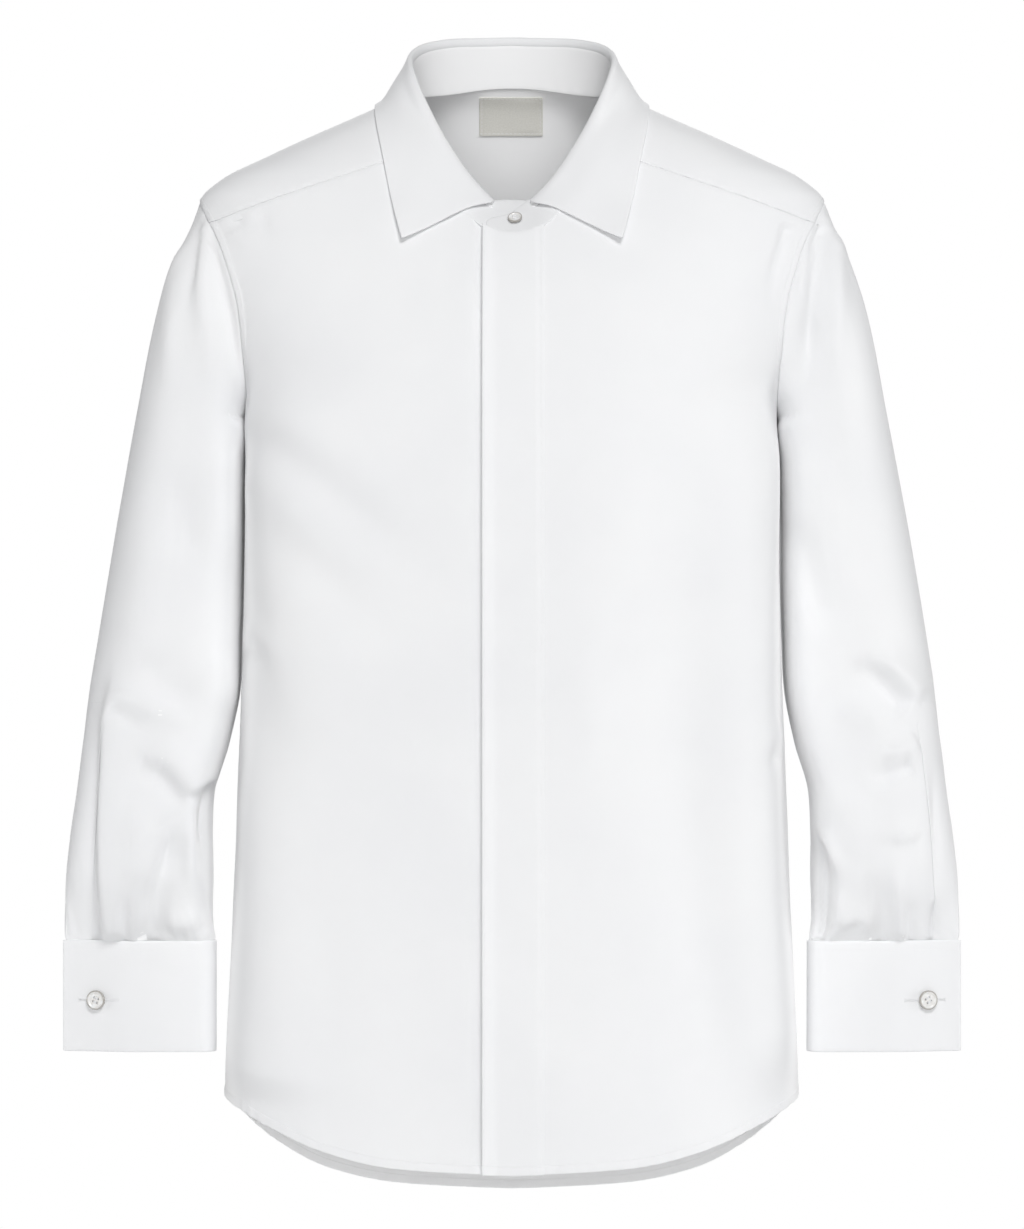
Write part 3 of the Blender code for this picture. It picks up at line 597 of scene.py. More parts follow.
def allowance(angles, side, first=0):
    # the cloth turned in: a strip under a panel's edge and on past it
    grid = edgeFirst(angles, side)
    near, far = grid[0], grid[3]
    width = np.linalg.norm(body(*np.moveaxis(near, -1, 0)) - body(*np.moveaxis(far, -1, 0)), axis=-1)
    step = far - near
    step[:, 0] = (step[:, 0] + pi) % (2 * pi) - pi
    step = step / width[:, None]
    reach = cloth["allowance"]
    strip = np.stack([near + step * away for away in np.linspace(reach, -reach, 5)])
    strip = strip[::-1] if side in ("top", "right") else strip
    deep, out = onBody(strip[:, first:])
    return island(deep - (cloth["thick"] + cloth["allowanceGap"]) * out, -out, cloth["allowanceThick"])


# wrapped sockets, so that shader maths reads as sums


class Wire:
    def __init__(self, tree, socket):
        self.tree, self.socket = tree, socket

    def math(self, operation, *values):
        return node(self.tree, "ShaderNodeMath", {"operation": operation}, dict(enumerate(values)))

    def __add__(self, other):
        return self.math("ADD", self, other)

    def __sub__(self, other):
        return self.math("SUBTRACT", self, other)

    def __rsub__(self, other):
        return self.math("SUBTRACT", other, self)

    def __mul__(self, other):
        return self.math("MULTIPLY", self, other)

    __radd__, __rmul__ = __add__, __mul__

    def sine(self):
        return self.math("SINE", self)

    def between(self, low, high):
        # 0 below low and 1 above high, eased
        ends = {"Value": self, "From Min": low, "From Max": high}
        return node(self.tree, "ShaderNodeMapRange", {"interpolation_type": "SMOOTHSTEP"}, ends)


def node(tree, kind, settings=None, inputs=None, output=0):
    made = tree.nodes.new(kind)
    for key, value in (settings or {}).items():
        setattr(made, key, value)
    for key, value in (inputs or {}).items():
        if isinstance(value, Wire):
            tree.links.new(value.socket, made.inputs[key])
        else:
            made.inputs[key].default_value = value
    return Wire(tree, made.outputs[output])


def finish(name, colour, roughness, settings, build):
    # a material: its constants, then what its builder wires to the shader
    made = bpy.data.materials.new(name)
    made.use_nodes = True
    tree = made.node_tree
    shader = tree.nodes["Principled BSDF"]
    for key, value in {"Base Color": (*colour, 1), "Roughness": roughness, **settings}.items():
        shader.inputs[key].default_value = value
    for key, wire in build(tree).items():
        tree.links.new(wire.socket, shader.inputs[key])
    return made


def coordinates(tree, kind="Object"):
    return node(tree, "ShaderNodeTexCoord", output=kind)


def clothAxes(tree):
    flat = node(tree, "ShaderNodeSeparateXYZ", {}, {0: coordinates(tree, "UV")})
    return flat, Wire(tree, flat.socket.node.outputs[1])


def markWire(tree, name):
    return node(tree, "ShaderNodeAttribute", {"attribute_name": name}, output="Fac")


def noise(tree, where, scale, detail=2.0, rough=0.5):
    given = {"Vector": where, "Scale": scale, "Detail": detail, "Roughness": rough}
    return node(tree, "ShaderNodeTexNoise", {}, given)


def tinted(tree, factor, low, high):
    # a colour between two, by a factor
    low = low if isinstance(low, Wire) else (*low, 1)
    return node(tree, "ShaderNodeMix", {"data_type": "RGBA"}, {0: factor, 6: low, 7: (*high, 1)}, 2)


def bumped(tree, height):
    return node(tree, "ShaderNodeBump", {}, {"Height": height, "Distance": mm, "Strength": 1.0})


# deep and pale are the cloth's random tone; inside is painted light, a brighter colour put on inner faces and on
# cloth marked pale, where shade falls
cottonLook = {
    "deep": (0.825, 0.83, 0.842), "pale": (0.852, 0.856, 0.864), "inside": (0.945, 0.947, 0.952),
    "roughness": 0.84, "thread": 0.33, "weave": 0.006, "slub": 0.012, "fell": 0.22,
}
softLook = {"crumple": 0.05, "fold": 0.24, "pucker": 0.16}
firmLook = {"crumple": 0.0225, "fold": 0.0, "pucker": 0.05}


def cotton(name, crumple, fold, pucker):
    look = cottonLook

    def cottonTree(tree):
        where = coordinates(tree)
        u, v = clothAxes(tree)
        turn = 2 * pi / (look["thread"] * mm)
        plain = (u * turn).sine() * (v * turn * 0.92).sine()
        drawn = node(tree, "ShaderNodeMapping", {}, {"Vector": coordinates(tree, "UV"), "Scale": (60, 1400, 1)})
        slub = noise(tree, drawn, 1.0)
        crease = noise(tree, where, 26, 3.0, 0.55) * 1.6 + noise(tree, where, 95, 3.0, 0.6) * 0.35
        near = 1 - markWire(tree, "seamInset").between(0.0, 16.0)
        gathered = noise(tree, where, 210) * near * pucker * 2.2
        height = plain * look["weave"] + slub * look["slub"] + crease * crumple + gathered
        for inset, edgeAt, below, above, drop in (
            ("foldInset", cloth["fold"], 0.45, 0.35, fold), ("fellInset", cloth["fell"], 0.35, 0.35, look["fell"]),
        ):
            height = height - markWire(tree, inset).between(edgeAt - below, edgeAt + above) * drop
        tone = noise(tree, where, 9, 3.0).between(0.3, 0.7)
        outerTone = tinted(tree, tone, look["deep"], look["pale"])
        # painted light: where the inside mark is set, the colour is lifted to the brighter inside colour
        colour = tinted(tree, markWire(tree, "inside"), outerTone, look["inside"])
        rough = slub * 0.08 + (look["roughness"] - 0.04)
        return {"Base Color": colour, "Roughness": rough, "Normal": bumped(tree, height)}

    settings = {"Sheen Weight": 0.12, "Sheen Roughness": 0.45, "Specular IOR Level": 0.28}
    return finish(name, look["pale"], look["roughness"], settings, cottonTree)


def satinTree(tree):
    u, v = clothAxes(tree)
    ribs = (v * (2 * pi / (0.42 * mm))).sine()
    floats = (u * (2 * pi / (0.3 * mm)) + v * (2 * pi / (1.5 * mm))).sine()
    fuzz = noise(tree, coordinates(tree, "UV"), 900)
    tone = (fuzz * 0.7 + ribs * 0.1 + 0.1).between(0.15, 0.75)
    return {
        "Base Color": tinted(tree, tone, (0.70, 0.69, 0.635), (0.80, 0.79, 0.74)),
        "Roughness": fuzz * 0.2 + 0.42,
        "Normal": bumped(tree, ribs * 0.02 + floats * 0.008 + fuzz * 0.02),
    }


def pearlTree(tree):
    where = coordinates(tree)
    cloud = noise(tree, where, 420, 3.0, 0.6)
    bands = (cloud * 9 + noise(tree, where, 150) * 14).sine() * 0.5 + 0.5
    tone = tinted(tree, bands, (0.80, 0.79, 0.77), (0.88, 0.885, 0.89))
    return {
        # painted shade: the edge mark darkens the pearl toward a brown grey at the rim
        "Base Color": tinted(tree, markWire(tree, "paintedEdgeShade"), tone, (0.30, 0.28, 0.25)),
        "Roughness": cloud * 0.22 + 0.13,
        "Normal": bumped(tree, noise(tree, where, 900) * 0.012),
    }


def threadTree(tree):
    fuzz = noise(tree, coordinates(tree), 3200)
    return {
        "Base Color": tinted(tree, fuzz, (0.78, 0.785, 0.80), (0.90, 0.90, 0.91)),
        "Roughness": fuzz * 0.2 + 0.5,
        "Normal": bumped(tree, fuzz * 0.05),
    }


satinSettings = {"Sheen Weight": 0.2, "Specular IOR Level": 0.5}
pearlSettings = {
    "Coat Weight": 0.6, "Coat Roughness": 0.08, "Specular IOR Level": 0.55,
    "Subsurface Weight": 0.12, "Subsurface Radius": (0.0012, 0.0011, 0.001),
}
threadSettings = {"Sheen Weight": 0.15, "Specular IOR Level": 0.35}
finishes = {
    "cotton": cotton("softCotton", **softLook),
    "firm_cotton": cotton("firmCotton", **firmLook),
    "label_satin": finish("labelSatin", (0.74, 0.73, 0.68), 0.5, satinSettings, satinTree),
    "pearl": finish("pearl", (0.84, 0.84, 0.82), 0.25, pearlSettings, pearlTree),
}
sewingThread = finish("sewingThread", (0.86, 0.865, 0.875), 0.62, threadSettings, threadTree)

print("body panels")

fronts = {
    "leftEdge": 19.5, "rightEdge": 16.0, "yokeFrom": 53.0, "gutter": 3.6, "gutterAt": -20.5, "gutterWide": 4.2,
    "paintedLightFrom": 0.82, "paintedLightOver": 0.16, "paintedLightBelow": -240,
}


def doubled(inset, depth):
    # 1 where the cloth lies double, within that depth from an edge
    return 1 - ease(inset - depth + cloth["step"])


def turnedIn(arm, hem):
    return cloth["fellRaise"] * doubled(arm, cloth["fell"]) + cloth["foldRaise"] * doubled(hem, cloth["fold"])


def belowCollar(points):
    return ease((-60 - points[..., 2]) / 80)


def makeFront(name, angles, armSide, gutter):
    base, out = onBody(angles)
    reach = insets(base)
    arm, hem = reach[armSide], reach["bottom"]
    up = np.where(np.abs(base[-1:, :, 0]) > fronts["yokeFrom"], reach["top"], farAway)
    height = bodyRelief(base, out) * ease(arm / 7)
    away = (base[..., 0] - fronts["gutterAt"]) / fronts["gutterWide"]
    height -= gutter * np.exp(-(away**2)) * belowCollar(base)
    height += puckers(arm, hem, *waves["arm"], 21) * ease(arm / 3)
    height += puckers(up, reach["left"], *waves["seam"], 22) - cloth["tuck"] * np.exp(-up / cloth["tuckWide"])
    height += puckers(hem, reach["left"], *waves["hem"], 23, 8.0)
    height += turnedIn(arm, hem)
    outer = base + height[..., None] * out
    marks = {"foldInset": hem, "fellInset": arm, "seamInset": np.minimum(np.minimum(arm, up), hem)}
    # painted light: cloth turned toward its neighbour, low on the body where shade falls between body and sleeve,
    # takes the brighter inside colour, here and on the sleeves
    pale = ease((np.abs(out[..., 0]) - fronts["paintedLightFrom"]) / fronts["paintedLightOver"])
    marks["pale"] = pale * ease((fronts["paintedLightBelow"] - base[..., 2]) / 20)
    clothPiece(name, outer, out, cloth["thick"], marks, cloth["rim"], more=[allowance(angles, armSide)])


for name, armSide, angles, gutter in (
    ("front_left", "right", frontPanel(fronts["leftEdge"], fineSteps), 0.0),
    ("front_right", "left", mirroredPanel(frontPanel(-fronts["rightEdge"], fineSteps)), fronts["gutter"]),
):
    angles = moreLines(moreLines(angles, "bottom", turnLines["hem"]), armSide, turnLines["arm"])
    makeFront(name, angles, armSide, gutter)

placket = {
    "free": -20.0, "sewn": 22.0, "thick": 1.2, "rim": 0.5, "gap": 0.5, "columns": 26,
    "lift": 3.2, "liftWide": 10, "drop": 0.75, "dropFrom": 37.5, "dropWide": 3.5,
}


def makePlacket():
    size = placket
    across = np.linspace(size["free"], size["sewn"], size["columns"])
    base, out = onBody(moreLines(centreLine(across, fineSteps), "bottom", turnLines["hem"]))
    reach = insets(base)
    hem = reach["bottom"]
    height = size["gap"] + size["thick"] + bodyRelief(base, out)
    height = height + size["lift"] * ease(1 - reach["left"] / size["liftWide"]) * belowCollar(base)
    drop = size["drop"] * ease((reach["left"] - size["dropFrom"]) / size["dropWide"])
    height = height - drop + puckers(reach["right"], hem, 0.18, 14.0, 31, 5.0)
    height += cloth["foldRaise"] * doubled(hem, cloth["fold"])
    outer = base + height[..., None] * out
    marks = {"foldInset": hem, "seamInset": reach["right"]}
    clothPiece("placket", outer, out, size["thick"] - drop, marks, size["rim"])


makePlacket()


def makeBack():
    angles = moreLines(backPanel(fineSteps), "bottom", turnLines["backHem"])
    angles = moreLines(moreLines(angles, "left", turnLines["arm"]), "right", turnLines["arm"])
    base, out = onBody(angles)
    reach = insets(base)
    arm = np.minimum(reach["left"], reach["right"])
    hem, up = reach["bottom"], reach["top"]
    height = bodyRelief(base, out) * ease(arm / 7)
    height += puckers(arm, hem, *waves["arm"], 41) * ease(arm / 3) + puckers(up, reach["left"], *waves["seam"], 42)
    height += puckers(hem, reach["left"], *waves["hem"], 43, 8.0) - cloth["tuck"] * np.exp(-up / cloth["tuckWide"])
    height += turnedIn(arm, hem)
    outer = base + height[..., None] * out
    marks = {"foldInset": hem, "fellInset": arm, "seamInset": np.minimum(np.minimum(arm, up), hem)}
    under = [allowance(angles, side, fineSteps["side"]) for side in ("left", "right")]
    clothPiece("back", outer, out, cloth["thick"], marks, cloth["rim"], more=under)


makeBack()


def makeYoke():
    angles = yokePanel(fineSteps)
    base, out = onBody(angles)
    reach = insets(base)
    low, ends = reach["bottom"], np.minimum(reach["left"], reach["right"])
    cap = fineSteps["cap"] + 1
    atArm = np.zeros((1, base.shape[1]), bool)
    atArm[:, :cap] = atArm[:, -cap:] = True
    height = bodyRelief(base, out) * np.where(atArm, ease(low / 7), 1)
    height += puckers(ends, low, 0.25, 12.0, 22) + puckers(low, reach["left"], 0.22, 12.0, 42)
    height += cloth["fellRaise"] * np.where(atArm, doubled(low, cloth["fell"]), 0.6 * np.exp(-low / 2.5))
    outer = base + height[..., None] * out
    marks = {"fellInset": np.where(atArm, low, farAway), "seamInset": np.minimum(low, ends)}
    under = [allowance(angles, side) for side in ("left", "right", "bottom")]
    clothPiece("yoke", outer, out, cloth["thick"], marks, cloth["rim"], more=under)


makeYoke()

print("collar")

rollLine = {
    "turn": (-90, -60, -35, -15, 0, 10, 20, 30, 40, 50, 64, 79, 90),
    "height": (41.5, 40, 35.5, 28.5, 21.5, 15.5, 6, -8, -24.5, -41, -63, -85, -90),
}
rollOval = {"side": 71.5, "front": 67.0, "back": 56.0, "power": 2.1}
stand = {
    "drop": 6.2, "foot": 0.8, "thick": 1.3, "left": 17.0, "right": 15.0,
    "lift": 1.9, "liftFrom": 55.0, "liftFull": 77.0,
}
# how high the stand reaches past the leaf's ends, as shares of the whole, by the way in from each end
lap = {
    "in": (0, 3, 8, 13, 18, 24, 28),
    "over": (0.25, 0.42, 0.57, 0.72, 0.92, 1.06, 1.2),
    "under": (0.8, 1.08, 1.2, 1.30, 1.2, 1.08, 1.0),
}
leaf = {
    "turn": (-90, -60, -30, -8, 8, 22, 38, 58, 80.5),
    "x": (0, 45, 79, 94, 95.5, 94, 90, 84, 76),
    "y": (77, 68, 42, 10, -12, -32, -52, -77, -94),
    "height": (-6, -8, -11, -13, -16, -28, -50, -82, -112),
}
leafShape = {
    "radius": 2.3, "bulge": 4.0, "lift": 3.0, "seamGap": 0.15, "settling": 6, "thick": 1.4,
    "end": radians(80.5), "columns": 29, "between": 9, "fallRows": 40, "rollRows": 22,
}


def rollPoint(turn):
    x, y = oval(rollOval, turn)
    return point(x, y, smooth(rollLine, "height", np.degrees(np.arcsin(np.sin(turn)))))


def planOutward(turn):
    ahead = np.stack(oval(rollOval, turn + turnStep), axis=-1)
    behind = np.stack(oval(rollOval, turn - turnStep), axis=-1)
    along = unit(behind - ahead)
    return point(along[..., 1], -along[..., 0], np.zeros(np.shape(turn)))


def standPoint(turn, share):
    over = (np.degrees(turn) - stand["liftFrom"]) / (stand["liftFull"] - stand["liftFrom"])
    outward = planOutward(turn) * (stand["lift"] * ease(over))[..., None]
    return blend(neckPoint(turn) - (0, 0, stand["foot"]), rollPoint(turn), share[..., None]) + outward


def rollFrame(turn):
    top = np.ones(len(turn))
    crest, base = standPoint(turn, top), standPoint(turn, 0 * top)
    along = unit(standPoint(turn - turnStep, top) - standPoint(turn + turnStep, top))
    out = unit(np.cross(along, crest - base))
    return crest, out, np.cross(out, along)


def standShare(turn):
    crest, _, up = rollFrame(turn)
    return 1 - stand["drop"] / dot(crest - standPoint(turn, np.zeros(len(turn))), up)[:, 0]


def standGrid(columns, rows):
    first = float(ovalTurn(neck, -stand["left"]))
    last = -2 * pi + float(ovalTurn(neck, stand["right"]))
    turns = np.linspace(first, last, columns)
    tops = standShare(turns)
    for column, reach in (("over", first - turns), ("under", turns - last)):
        inset = neck["side"] * reach
        tops = blend(smooth(lap, column, np.minimum(inset, lap["in"][-1])), tops, ease((inset - 26) / 3.5))
    shares = np.linspace(0, 1, rows)[:, None] * tops
    return standPoint(np.broadcast_to(turns, shares.shape), shares)


def makeStand():
    outer = standGrid(330, 16)
    out = gridNormals(outer)
    reach = insets(outer)
    outer = outer + puckers(reach["bottom"], reach["left"], 0.1, 11.0, 51, 6.0)[..., None] * out
    clothPiece("collar_stand", outer, out, stand["thick"], {"seamInset": reach["bottom"]}, slotName="firm_cotton")


makeStand()


def leafEdgePoint(turn):
    folded = np.degrees(np.arcsin(np.sin(turn)))
    x, y, height = (smooth(leaf, column, folded) for column in ("x", "y", "height"))
    return point(x * np.sign(np.cos(turn)), y, height)


def draped(rows, carriers, lift):
    # rows of points, settled at least the lift off the grids under them
    corners, faces = [], []
    for grid in carriers:
        faces += quads(len(corners) + np.arange(grid[..., 0].size).reshape(grid.shape[:2])).tolist()
        corners += grid.reshape(-1, 3).tolist()
    tree = BVHTree.FromPolygons(corners, faces)
    rows = rows.copy()
    for step in range(leafShape["settling"] + 1):
        if step:
            beside = rows[:-2, 1:-1] + rows[2:, 1:-1] + rows[1:-1, :-2] + rows[1:-1, 2:]
            rows[1:-1, 1:-1] = rows[1:-1, 1:-1] / 2 + beside / 8
        for spot in rows[:-1].reshape(-1, 3):
            near, normal, _, _ = tree.find_nearest(spot.tolist())
            short = lift - (Vector(spot) - near).dot(normal)
            spot += np.array(normal) * max(short, 0)
    return rows


def makeLeaf():
    size = leafShape
    radius, spans = size["radius"], size["columns"] - 1
    turns = np.linspace(size["end"], -pi - size["end"], size["columns"])
    rough = [onBody(frontPanel(fronts["leftEdge"], roughSteps))[0]]
    rough.append(mirrored(onBody(frontPanel(-fronts["rightEdge"], roughSteps))[0]))
    strip, over = onBody(centreLine(np.linspace(placket["free"], placket["sewn"], 4), roughSteps))
    rough.append(strip + (placket["gap"] + placket["thick"]) * over)
    rough += [onBody(yokePanel(roughSteps))[0], standGrid(45, 5)]
    crest, out, up = rollFrame(turns)
    seam = standPoint(turns, standShare(turns))
    middle = crest - radius * up + (radius - stand["thick"]) * out
    shares = np.array((1, 0.8, 0.6, 0.4, 0.2, 0))[:, None, None]
    rest = ease((np.degrees(np.abs(np.arcsin(np.sin(turns)))) * np.sign(np.sin(turns)) - 50) / 28)[:, None]
    bulge = 4 * size["bulge"] * shares * (1 - shares) * out * (1 - 0.9 * rest)
    fall = blend(middle + radius * out, leafEdgePoint(turns), shares) + bulge
    bends = np.radians((60, 120, 180))[:, None, None]
    roll = middle + radius * (np.cos(bends) * out + np.sin(bends) * up)
    inside = seam - stand["thick"] * out + size["seamGap"] * up
    rows = np.concatenate([draped(fall, rough, size["lift"]), roll, inside[None]])
    columns = np.linspace(0, spans, spans * size["between"] + 1)
    wide = spline(np.arange(size["columns"]) * 1.0, rows.swapaxes(0, 1), columns).swapaxes(0, 1)
    knots = soFar(lengths(rows).mean(axis=1))
    crown = knots[len(fall) - 1]
    places = [np.linspace(0, crown, size["fallRows"])[:-1], np.linspace(crown, knots[-1], size["rollRows"])]
    outer = spline(knots, wide, np.concatenate(places))
    out = gridNormals(outer)
    marks = {"seamInset": insets(outer)["top"]}
    clothPiece("collar_leaf", outer, out, size["thick"], marks, slotName="firm_cotton")


makeLeaf()

print("sleeves")

sleeve = {
    "height": (-270, -310, -350, -390, -430, -465, -500, -530, -560, -585, -597, -605),
    "middle": (232, 236.5, 240, 243.5, 247.5, 253, 260, 262.5, 263.5, 264, 263.5, 262.5),
    "width": (42.5, 45.5, 48.5, 51, 53, 51.5, 48.5, 50, 52, 52.5, 53, 53.7),
    "forward": (-25, -24, -22, -18, -13, -7, -1, 5, 11, 15, 17, 18),
    "depth": (73, 70, 66, 62, 58, 55, 52, 47, 40, 28, 19.5, 13),
    "fin": (0, 0, 0, 0, 0, 0, 0, 0.05, 0.25, 0.6, 0.85, 1),
}
sleeveShape = {
    "outer": 2.4, "inner": 3.9, "lean": 0.8, "hang": 1.1, "folds": 1.35, "clear": 0.3,
    "columns": 150, "capRows": 40, "rowGap": 3.0, "top": -270.0, "rightShift": 9,
    "paintedLightFrom": 0.7, "paintedLightOver": 0.28,
}
# where the cap is drawn against the body at the armpit, and where the sleeve's inner side lies along it
armpit = {"power": 10, "above": 4, "over": 12, "until": 0.5, "clear": 0.2, "from": -236, "fromOver": 5}
cuff = {
    "top": -604.6, "bottom": -681.6, "middle": 262.5, "half": 54.0, "forward": 18.0, "depth": 13.0,
    "end": 1.7, "length": 52.0, "thick": 1.6,
}

# folds seen from the front, then from the back, on each sleeve
rightSleeveFolds = foldTable(
    (3.4, 7, 7, 1.7, 0.1, 0.5, -217, -92, -217, -124, -215, -174, -213, -222),
    (-3.0, 4, 5, 1.6, 0.1, 0.5, -220, -93, -222, -113, -225, -135, -229, -168),
    (-3.4, 6, 9, 2.0, 0.1, 0.3, -211, -98, -207, -121, -203, -141, -198, -160, -192, -185, -189, -212),
    (2.0, 7, 9, 2.0, 0.15, 0.5, -236, -104, -240, -150, -238, -240),
    (2.6, 12, 14, 2.0, 0.3, 0.4, -205, -240, -204, -300, -198, -350),
    (-2.4, 12, 12, 2.0, 0.4, 0.5, -232, -262, -230, -310, -216, -350),
    (2.6, 16, 16, 2.0, 0.3, 0.4, -250, -300, -258, -370, -268, -430),
    (2.4, 12, 16, 2.0, 0.4, 0.4, -222, -392, -206, -420, -204, -450),
    (-2.4, 12, 14, 2.0, 0.3, 0.3, -262, -400, -240, -424, -222, -444),
    (3.2, 10, 7, 1.7, 0.25, 0.3, -284, -424, -262, -436, -240, -446, -224, -452),
    (-2.6, 5, 10, 1.6, 0.15, 0.6, -282, -441, -268, -449, -250, -456),
    (4.0, 16, 7, 1.8, 0.4, 0.15, -263, -463, -241, -477, -221, -503),
    (-4.2, 7, 15, 1.7, 0.35, 0.2, -267, -472, -248, -486, -227, -511),
    (3.6, 8, 10, 2.0, 0.4, 0.3, -268, -500, -261, -530, -262, -570),
    (-5.6, 12, 5, 1.7, 0.3, 0.02, -236, -518, -243, -545, -251, -574, -258, -606),
    (4.8, 15, 5.5, 1.8, 0.25, 0.02, -276, -400, -283, -450, -287, -510, -287, -560, -284, -606),
    (-4.4, 6, 8, 1.6, 0.3, 0.02, -290, -440, -296, -540, -293, -606),
    (-3.0, 4, 3, 1.5, 0.5, 0.02, -271, -565, -272, -586, -274, -606),
    (2.6, 3.5, 3.5, 1.5, 0.5, 0.4, -262, -572, -263, -590, -264, -606),
    (2.4, 8, 5, 2.0, 0.3, 0.3, -246, -594, -232, -592, -217, -588),
    (-3.6, 4.5, 4, 1.6, 0.15, 0.4, -212, -490, -217, -518, -216, -545),
    (2.4, 5, 5, 2.0, 0.4, 0.4, -223, -512, -226, -540, -222, -572),
)
leftSleeveFolds = foldTable(
    (-5.0, 6, 8, 1.6, 0.08, 0.4, 220, -94, 215, -120, 212, -140, 210, -156, 207, -186, 203, -216),
    (-2.8, 11, 9, 2.0, 0.4, 0.4, 215, -150, 208, -190, 202, -245),
    (2.4, 7, 6, 2.0, 0.15, 0.5, 229, -98, 228, -150, 226, -220),
    (2.0, 5, 4, 1.6, 0.2, 0.5, 207, -108, 203, -135, 199, -165),
    (2.6, 16, 14, 2.0, 0.3, 0.4, 216, -250, 226, -330, 238, -400),
    (-2.2, 12, 9, 2.0, 0.3, 0.3, 200, -300, 210, -350, 226, -394),
    (-5.0, 7, 10, 1.6, 0.35, 0.12, 236, -404, 256, -418, 280, -440),
    (4.0, 10, 6, 1.7, 0.35, 0.2, 252, -398, 270, -414, 289, -436),
    (2.6, 8, 12, 2.0, 0.3, 0.4, 228, -428, 250, -446, 270, -456),
    (-3.8, 7, 6, 1.6, 0.4, 0.12, 250, -492, 266, -486, 282, -479),
    (3.4, 6, 9, 1.7, 0.4, 0.2, 256, -474, 270, -469, 287, -462),
    (2.4, 14, 12, 2.0, 0.4, 0.4, 230, -486, 238, -520, 244, -552),
    (-5.4, 8, 9, 1.8, 0.2, 0.05, 209, -524, 216, -550, 217, -576, 214, -606),
    (3.0, 6, 5, 1.7, 0.25, 0.4, 216, -524, 226, -546, 234, -562),
    (2.2, 6, 5, 1.6, 0.3, 0.02, 232, -566, 228, -586, 222, -606),
    (2.0, 8, 5, 2.0, 0.3, 0.4, 226, -590, 238, -588, 248, -583),
    (3.2, 3.5, 5, 1.5, 0.5, 0.4, 247, -570, 251, -590, 255, -606),
    (-3.8, 6, 4, 1.6, 0.4, 0.02, 251, -548, 256, -576, 259, -606),
    (3.0, 5, 6, 1.6, 0.4, 0.02, 268, -540, 271, -575, 275, -606),
    (-3.0, 4, 4, 1.5, 0.5, 0.02, 280, -572, 280, -590, 281, -606),
    (2.4, 8, 5, 2.0, 0.3, 0.3, 267, -536, 275, -528, 286, -532),
    (-1.8, 3.5, 5, 1.5, 0.4, 0.2, 296, -470, 298, -530, 298, -580),
    (-3.0, 4, 4, 1.5, 0.5, 0.02, 297, -572, 297, -590, 296, -606),
)
# for the wearer's left, mirrored with a shift for the right
sleeveBackFolds = foldTable(
    (2.8, 6, 8, 1.6, 0.12, 0.5, 216, -96, 224, -150, 214, -236),
    (-2.5, 5, 6, 1.6, 0.12, 0.5, 228, -100, 236, -150, 230, -220),
    (2.2, 12, 14, 2.0, 0.4, 0.4, 262, -250, 256, -320, 262, -392),
    (3.6, 9, 7, 1.6, 0.2, 0.4, 204, -418, 236, -428, 268, -420),
    (-3.4, 7, 8, 1.6, 0.2, 0.4, 204, -436, 234, -446, 272, -436),
    (3.1, 10, 9, 2.0, 0.2, 0.4, 208, -456, 240, -468, 280, -462),
    (-2.5, 9, 12, 2.0, 0.3, 0.4, 214, -482, 244, -500, 276, -524),
    (-3.4, 5, 5, 1.4, 0.5, 0.02, 232, -556, 233, -582, 235, -606),
    (2.8, 5, 6, 1.5, 0.5, 0.02, 243, -552, 244, -580, 245, -606),
    (-3.2, 5, 5, 1.4, 0.5, 0.02, 254, -560, 256, -584, 257, -606),
    (2.7, 5, 5, 1.5, 0.5, 0.02, 268, -556, 267, -582, 267, -606),
    (-3.1, 5, 5, 1.4, 0.5, 0.02, 280, -562, 278, -584, 278, -606),
    (2.2, 6, 6, 1.5, 0.5, 0.02, 294, -566, 292, -586, 291, -606),
)


def finDepth(fromOuter, width, depth):
    # half the thickness of a flattened tube: a thin outer end, and a round inner fold
    swell = blend(cuff["end"], depth, ease(fromOuter / cuff["length"]))
    turned = np.clip((fromOuter - (2 * width - depth)) / depth, 0, 1)
    return swell * np.sqrt(1 - turned**2)


def sleeveRing(turn, height):
    # the turn runs from the sleeve's outer side to the front
    middle, width, forward, depth, fin = (
        smooth(sleeve, column, height) for column in ("middle", "width", "forward", "depth", "fin")
    )
    power = np.where(np.cos(turn) > 0, sleeveShape["outer"], sleeveShape["inner"])
    across = signedPower(np.cos(turn), 2 / power)
    along = signedPower(np.sin(turn), 2 / power)
    flat = finDepth(width * (1 - across), width, depth) * np.clip(4 * np.abs(along), 0, 1)
    y = -forward - np.sign(along) * blend(depth * np.abs(along), flat, fin)
    x = np.maximum(middle + width * across, halfWidthAt(y, height) + sleeveShape["clear"])
    return point(x, y, np.broadcast_to(height, np.shape(x)))


